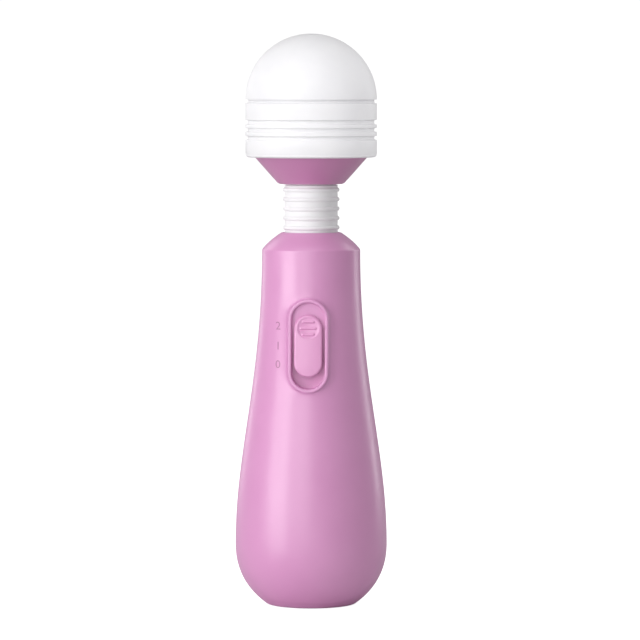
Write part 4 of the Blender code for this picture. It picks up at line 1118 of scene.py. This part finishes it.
SPRING_WIRE_R = 0.6
SPRING_R = SLEEVE_BORE_R - 0.3 - SPRING_WIRE_R
SPRING_FOOT = SLEEVE_FOOT + SPRING_WIRE_R + 0.1
SPRING_HEAD = SLEEVE_HEAD - SPRING_WIRE_R - 0.1
SPRING_TURNS = 8.0


def neck_spring():
    """The steel spring inside the sleeve, cut where the sleeve is, at a whole half turn."""
    rise = (SPRING_HEAD - SPRING_FOOT) / SPRING_TURNS
    for name, first, turns, bend in (("foot", 0.0, 4.5, bend_foot), ("head", 4.5, 3.5, bend_head)):
        wire = grow("neck_spring_" + name, WOUND_WIRE, SPRING_STEEL, Turns=turns, Start_radius=SPRING_R * MM,
                    End_radius=SPRING_R * MM, Rise=rise * turns * MM, Wire_radius=SPRING_WIRE_R * MM,
                    Foot=(0, 0, (SPRING_FOOT + rise * first) * MM), Start_angle=(0, 0, 2 * math.pi * first),
                    Steps=28)
        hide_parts("neck_spring")
        bend(wire)


def smooth_path(knots, steps):
    """A smooth curve through every knot."""
    knots = [Vector(k) for k in knots]
    ends = [2 * knots[0] - knots[1]] + knots + [2 * knots[-1] - knots[-2]]
    points = []
    for a, b, c, d in zip(ends, ends[1:], ends[2:], ends[3:]):
        for i in range(steps):
            t = i / steps
            points.append(0.5 * (2 * b + (c - a) * t + (2 * a - 5 * b + 4 * c - d) * t * t
                                 + (3 * b - a - 3 * c + d) * t ** 3))
    return points + [knots[-1]]


def insulated_wire(name, points, radius, material, sides=16):
    """A round wire along points, with its cut ends just rounded."""
    skin = Skin()
    rows = []
    side = Vector((0, 1, 0))
    for i, point in enumerate(points):
        along = (points[min(i + 1, len(points) - 1)] - points[max(i - 1, 0)]).normalized()
        side = (side - along * side.dot(along)).normalized()
        other = along.cross(side)
        rows.append([point + (side * math.cos(2 * math.pi * k / sides) + other * math.sin(2 * math.pi * k / sides))
                     * radius for k in range(sides)])
    for end, row in ((points[0], 0), (points[-1], -1)):
        rows.insert(0 if row == 0 else len(rows), [end.lerp(p, 0.8) for p in rows[row]])
    first = skin.row(rows[0])
    skin.cap(first)
    skin.cap(skin.loops(rows[1:], first))
    return skin.build(name, material, 50.0)


LEAD_R = 0.7


def motor_leads():
    """The two leads from the switch board up through the spring to the motor, in the sleeve's two lengths."""
    seat = SLEEVE_HEAD + 0.3
    for name, side, jacket in (("red", -1, RED_PVC), ("black", 1, BLACK_PVC)):
        low, high = box_mm("motor_lead_" + name)
        board = low.z + LEAD_R
        front = low.y + LEAD_R
        knots = [(side * 4.5, front, board), (side * 3.4, -0.5, board + 8), (side * 1.3, 0, SLEEVE_FOOT - 4),
                 (side * 1.3, 0, 131.0), (side * 1.3, 0, 135.0), (side * 1.3, 0, SPLIT_Z - 0.4)]
        foot = insulated_wire(f"motor_lead_{name}_foot", smooth_path(knots, 10), LEAD_R, jacket)
        knots = [(side * 1.3, 0, SPLIT_Z), (side * 1.3, 0, 143.5), (side * 1.35, 0, 147.0), (side * 1.6, 0, seat),
                 (side * 3.4, 0, seat + 2.6)]
        head = insulated_wire(f"motor_lead_{name}_head", smooth_path(knots, 10), LEAD_R, jacket)
        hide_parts("motor_lead_" + name)
        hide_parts("motor_lead_" + name)
        bend_foot(foot)
        bend_head(head)


# ---------------------------------------------------------------- head

COLLAR_TOP_R = HEAD_R - 3.35
COLLAR_FOOT_R = 11.4
CAP_WALL = 2.2
CORE_R = HEAD_R - CAP_WALL - 0.3
SPIGOT_R = CORE_R - 2.0 - 0.3
GROOVES = ((18.9, 20.5), (11.5, 13.1), (8.9, 10.3), (6.1, 7.5))
GROOVE_DEPTH = 0.9


def head_collar():
    """The cone under the head: a crisp lower corner, a flat foot with a hole for the sleeve, and a spigot above."""
    slope = (COLLAR_TOP_R - COLLAR_FOOT_R) / (CAP_Z - COLLAR_Z)
    floor = COLLAR_Z + 1.8
    inner = SPIGOT_R - 1.8
    foot_inner = COLLAR_FOOT_R + slope * 1.8 - 2.2
    knee = CAP_Z + (inner - (COLLAR_TOP_R - 2.2)) / slope
    hole = SLEEVE_R - 0.2
    outside = rounded([(SPIGOT_R, CAP_Z + 6.2), (SPIGOT_R, CAP_Z + 1.5), (COLLAR_TOP_R, CAP_Z + 1.5, 0.3),
                       (COLLAR_TOP_R, CAP_Z, 0.4), (COLLAR_FOOT_R, COLLAR_Z, 0.9), (hole, COLLAR_Z, 0.3),
                       (hole, floor), (foot_inner, floor), (inner, knee), (inner, CAP_Z + 6.2)])
    # Its darker pink is painted shade, for the shadow under the cap.
    collar = turned("head_collar_cone", outside, PINK_PAINTED_SHADE, 160, True)
    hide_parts("head_collar")
    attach(collar, "head")


def head_cap():
    """The soft dome, with four moulded grooves round its side and a lip that hooks under the core."""
    inner = HEAD_R - CAP_WALL
    profile = arc(HEAD_R, 90, 1, 60, DOME_Z)
    side = [(HEAD_R, DOME_Z)]
    for low, high in GROOVES:
        for height, radius, round_ in ((high, HEAD_R, 0.28), (high - 0.1, HEAD_R - GROOVE_DEPTH, 0.35),
                                       (low + 0.1, HEAD_R - GROOVE_DEPTH, 0.35), (low, HEAD_R, 0.28)):
            side.append((radius, CAP_Z + height, round_))
    side += [(HEAD_R, CAP_Z + 1.35), (HEAD_R - 0.12, CAP_Z + 1.15, 0.1), (HEAD_R - 0.15, CAP_Z + 0.4, 0.5),
             (HEAD_R - 1.2, CAP_Z, 0.5), (COLLAR_TOP_R + 0.3, CAP_Z, 0.2), (COLLAR_TOP_R + 0.3, CAP_Z + 1.5),
             (inner, CAP_Z + 1.5)]
    profile += rounded(side)
    profile += arc(inner, 0, 90, 24, DOME_Z)
    profile[0], profile[-1] = (0, CAP_TOP), (0, DOME_Z + inner)
    cap = turned("head_cap_dome", profile, SOFT_WHITE, 180)
    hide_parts("head_cap")
    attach(cap, "head")


# ---------------------------------------------------------------- screws, cells and contact springs

def pan_head_screw():
    """A thread-forming screw driven towards -Y, with a cross recess in its head. Its seat is at the origin."""
    skin = Skin()
    sides = 48
    arm, half = 1.25, 0.32

    def recess(px, pz):
        """Depth of the cross at a place on the head."""
        in_x = (1 - smoothstep(half, half + 0.12, abs(pz))) * (1 - smoothstep(arm - 0.25, arm + 0.05, abs(px)))
        in_z = (1 - smoothstep(half, half + 0.12, abs(px))) * (1 - smoothstep(arm - 0.25, arm + 0.05, abs(pz)))
        return 0.85 * max(in_x, in_z)

    rows = []
    for radius in [0.0] + [0.07 * i for i in range(1, 24)]:
        crown = 1.6 - 0.32 * (radius / 1.6) ** 2
        rows.append((radius, crown))
    rows += [(1.8, 1.12), (1.98, 0.9), (2.08, 0.6), (2.1, 0.3), (2.08, 0.0), (1.25, 0.0)]
    for i in range(22):
        rows.append((1.25 if i % 2 else 0.98, -0.35 - 0.5 * i))
    rows += [(0.5, -11.8), (0.0, -12.0)]
    loops = []
    for radius, y in rows:
        ring = []
        for i in range(sides):
            x = radius * math.cos(2 * math.pi * i / sides)
            z = radius * math.sin(2 * math.pi * i / sides)
            ring.append((x, y - (recess(x, z) if y > 1.2 else 0.0), z))
        loops.append(ring)
    first = skin.row(loops[0])
    skin.loops(loops[1:], first)
    return plain_mesh("pan_head_screw", skin)


def shell_screws():
    """The four screws that hold the shells together, each stopped at its own angle."""
    unit = bpy.data.objects.new("screw_unit", pan_head_screw())
    seats = []
    for name in SCREW_NODES:
        low, high = box_mm(name)
        seats.append(Vector(((low.x + high.x) / 2, high.y - 1.6, (low.z + high.z) / 2)) * MM)
    places = bpy.data.meshes.new("screw_places")
    places.from_pydata(seats, [], [])
    screws = grow("shell_screws_zinc", driven_tree((0, 1, 0)), ZINC_SCREW, places, 40.0, 0.001, Unit=unit, Seed=7)
    bpy.data.objects.remove(unit)
    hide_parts(*SCREW_NODES)
    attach(screws, "handle")


CELL_R = 7.25
CELL_L = 49.2


def dry_cells():
    """Four AA cells in heat-shrunk jackets, alternate ones nub down."""
    for name in ("front_left", "front_right", "rear_left", "rear_right"):
        low, high = box_mm("cell_" + name)
        x, y = (low.x + high.x) / 2, (low.y + high.y) / 2
        nub_up = name in ("front_left", "rear_right")
        half = rounded([(0.0, 0.12), (2.6, 0.12, 0.3), (2.9, 0.0), (CELL_R - 0.75, 0.0), (CELL_R - 0.35, 0.05),
                        (CELL_R, 0.4, 0.3), (CELL_R, 1.2)], 4)
        top = rounded([(CELL_R, CELL_L - 1.2), (CELL_R, CELL_L - 0.35, 0.35), (CELL_R - 0.6, CELL_L - 0.1, 0.2),
                       (CELL_R - 0.9, CELL_L - 0.35), (3.1, CELL_L - 0.35), (2.7, CELL_L, 0.2), (2.7, CELL_L + 1.2, 0.35),
                       (0.0, CELL_L + 1.2)], 4)
        stations = [(r, z) for r, z in half + [(CELL_R, 1.2 + (CELL_L - 2.4) * i / 12) for i in range(1, 12)] + top]
        if nub_up:
            profile = [(r, low.z + z) for r, z in stations]
        else:
            profile = [(r, high.z - z) for r, z in stations]
        cell = turned("dry_cell_" + name, profile, CELL_JACKET, 56)
        cell.data.transform(Matrix.Translation((x * MM, y * MM, 0)))
        cell.data.materials.append(CELL_STEEL)
        foot, head = (low.z, high.z) if nub_up else (high.z, low.z)
        sign = 1 if nub_up else -1
        for face in cell.data.polygons:
            z = (face.center.z / MM - foot) * sign
            from_axis = math.hypot(face.center.x / MM - x, face.center.y / MM - y)
            bare = from_axis < CELL_R - 0.85 and (z < 0.3 or z > CELL_L - 0.6)
            face.material_index = 1 if bare else 0
        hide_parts("cell_" + name)
        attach(cell, "handle")


def contact_springs():
    """A conical spring against the flat end of each cell."""
    for name in ("front_left", "front_right", "rear_left", "rear_right"):
        node = "contact_spring_" + name
        low, high = box_mm(node)
        x, y = (low.x + high.x) / 2, (low.y + high.y) / 2
        wire = 0.3
        nub_up = name in ("front_left", "rear_right")
        rise = high.z - low.z - 2 * wire
        start, end = (5.0, 2.6) if nub_up else (2.6, 5.0)
        spring = grow(node + "_wire", WOUND_WIRE, SPRING_STEEL, Turns=3.0, Start_radius=start * MM,
                      End_radius=end * MM, Rise=rise * MM, Wire_radius=wire * MM,
                      Foot=(x * MM, y * MM, (low.z + wire) * MM), Start_angle=(0, 0, 0), Steps=32)
        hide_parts(node)
        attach(spring, "handle")


# ---------------------------------------------------------------- finishes on the CAD pieces that stay

FINISHES = {
    WHITE_ABS: ("battery_tray", "head_core"),
    BLACK_NYLON: ("slider_plate", "switch_lever", "motor_end_cap", "neck_socket", "upper_spring_seat"),
    BLACK_RUBBER: ("motor_boot",),
    TIN_PLATE: ("switch_can",),
    BROWN_LAMINATE: ("switch_base", "switch_board"),
    RESISTOR: ("speed_resistor",),
    NICKEL_PLATE: ("contact_plate_top_left", "contact_plate_top_right", "contact_plate_end_left",
                   "contact_plate_end_right", "contact_plate_bridge"),
    ZINC_SCREW: ("upper_board_screw", "lower_board_screw"),
    MOTOR_STEEL: ("motor_can",),
    SHAFT_STEEL: ("motor_shaft",),
    SINTERED_STEEL: ("eccentric_weight",),
    BRASS: ("motor_bush", "motor_terminal_red", "motor_terminal_black"),
    RED_PVC: ("battery_lead_red",),
    BLACK_PVC: ("battery_lead_black",),
}


def finish_cad():
    for material, names in FINISHES.items():
        for name in names:
            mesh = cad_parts[name].data
            mesh.materials.clear()
            mesh.materials.append(material)


def whiten(*names):
    """Give the cap a fill light of its own. No shared lighting tried gave its pale dark side,
    and more subsurface scattering only made it darker."""
    for name in names:
        bpy.data.collections["white_pieces"].objects.link(bpy.data.objects[name])


def main():
    front_shell()
    rear_shell()
    battery_door()
    switch_knob()
    switch_marks()
    neck_sleeve()
    neck_spring()
    motor_leads()
    head_collar()
    head_cap()
    shell_screws()
    dry_cells()
    contact_springs()
    finish_cad()
    whiten("head_cap_dome")


main()
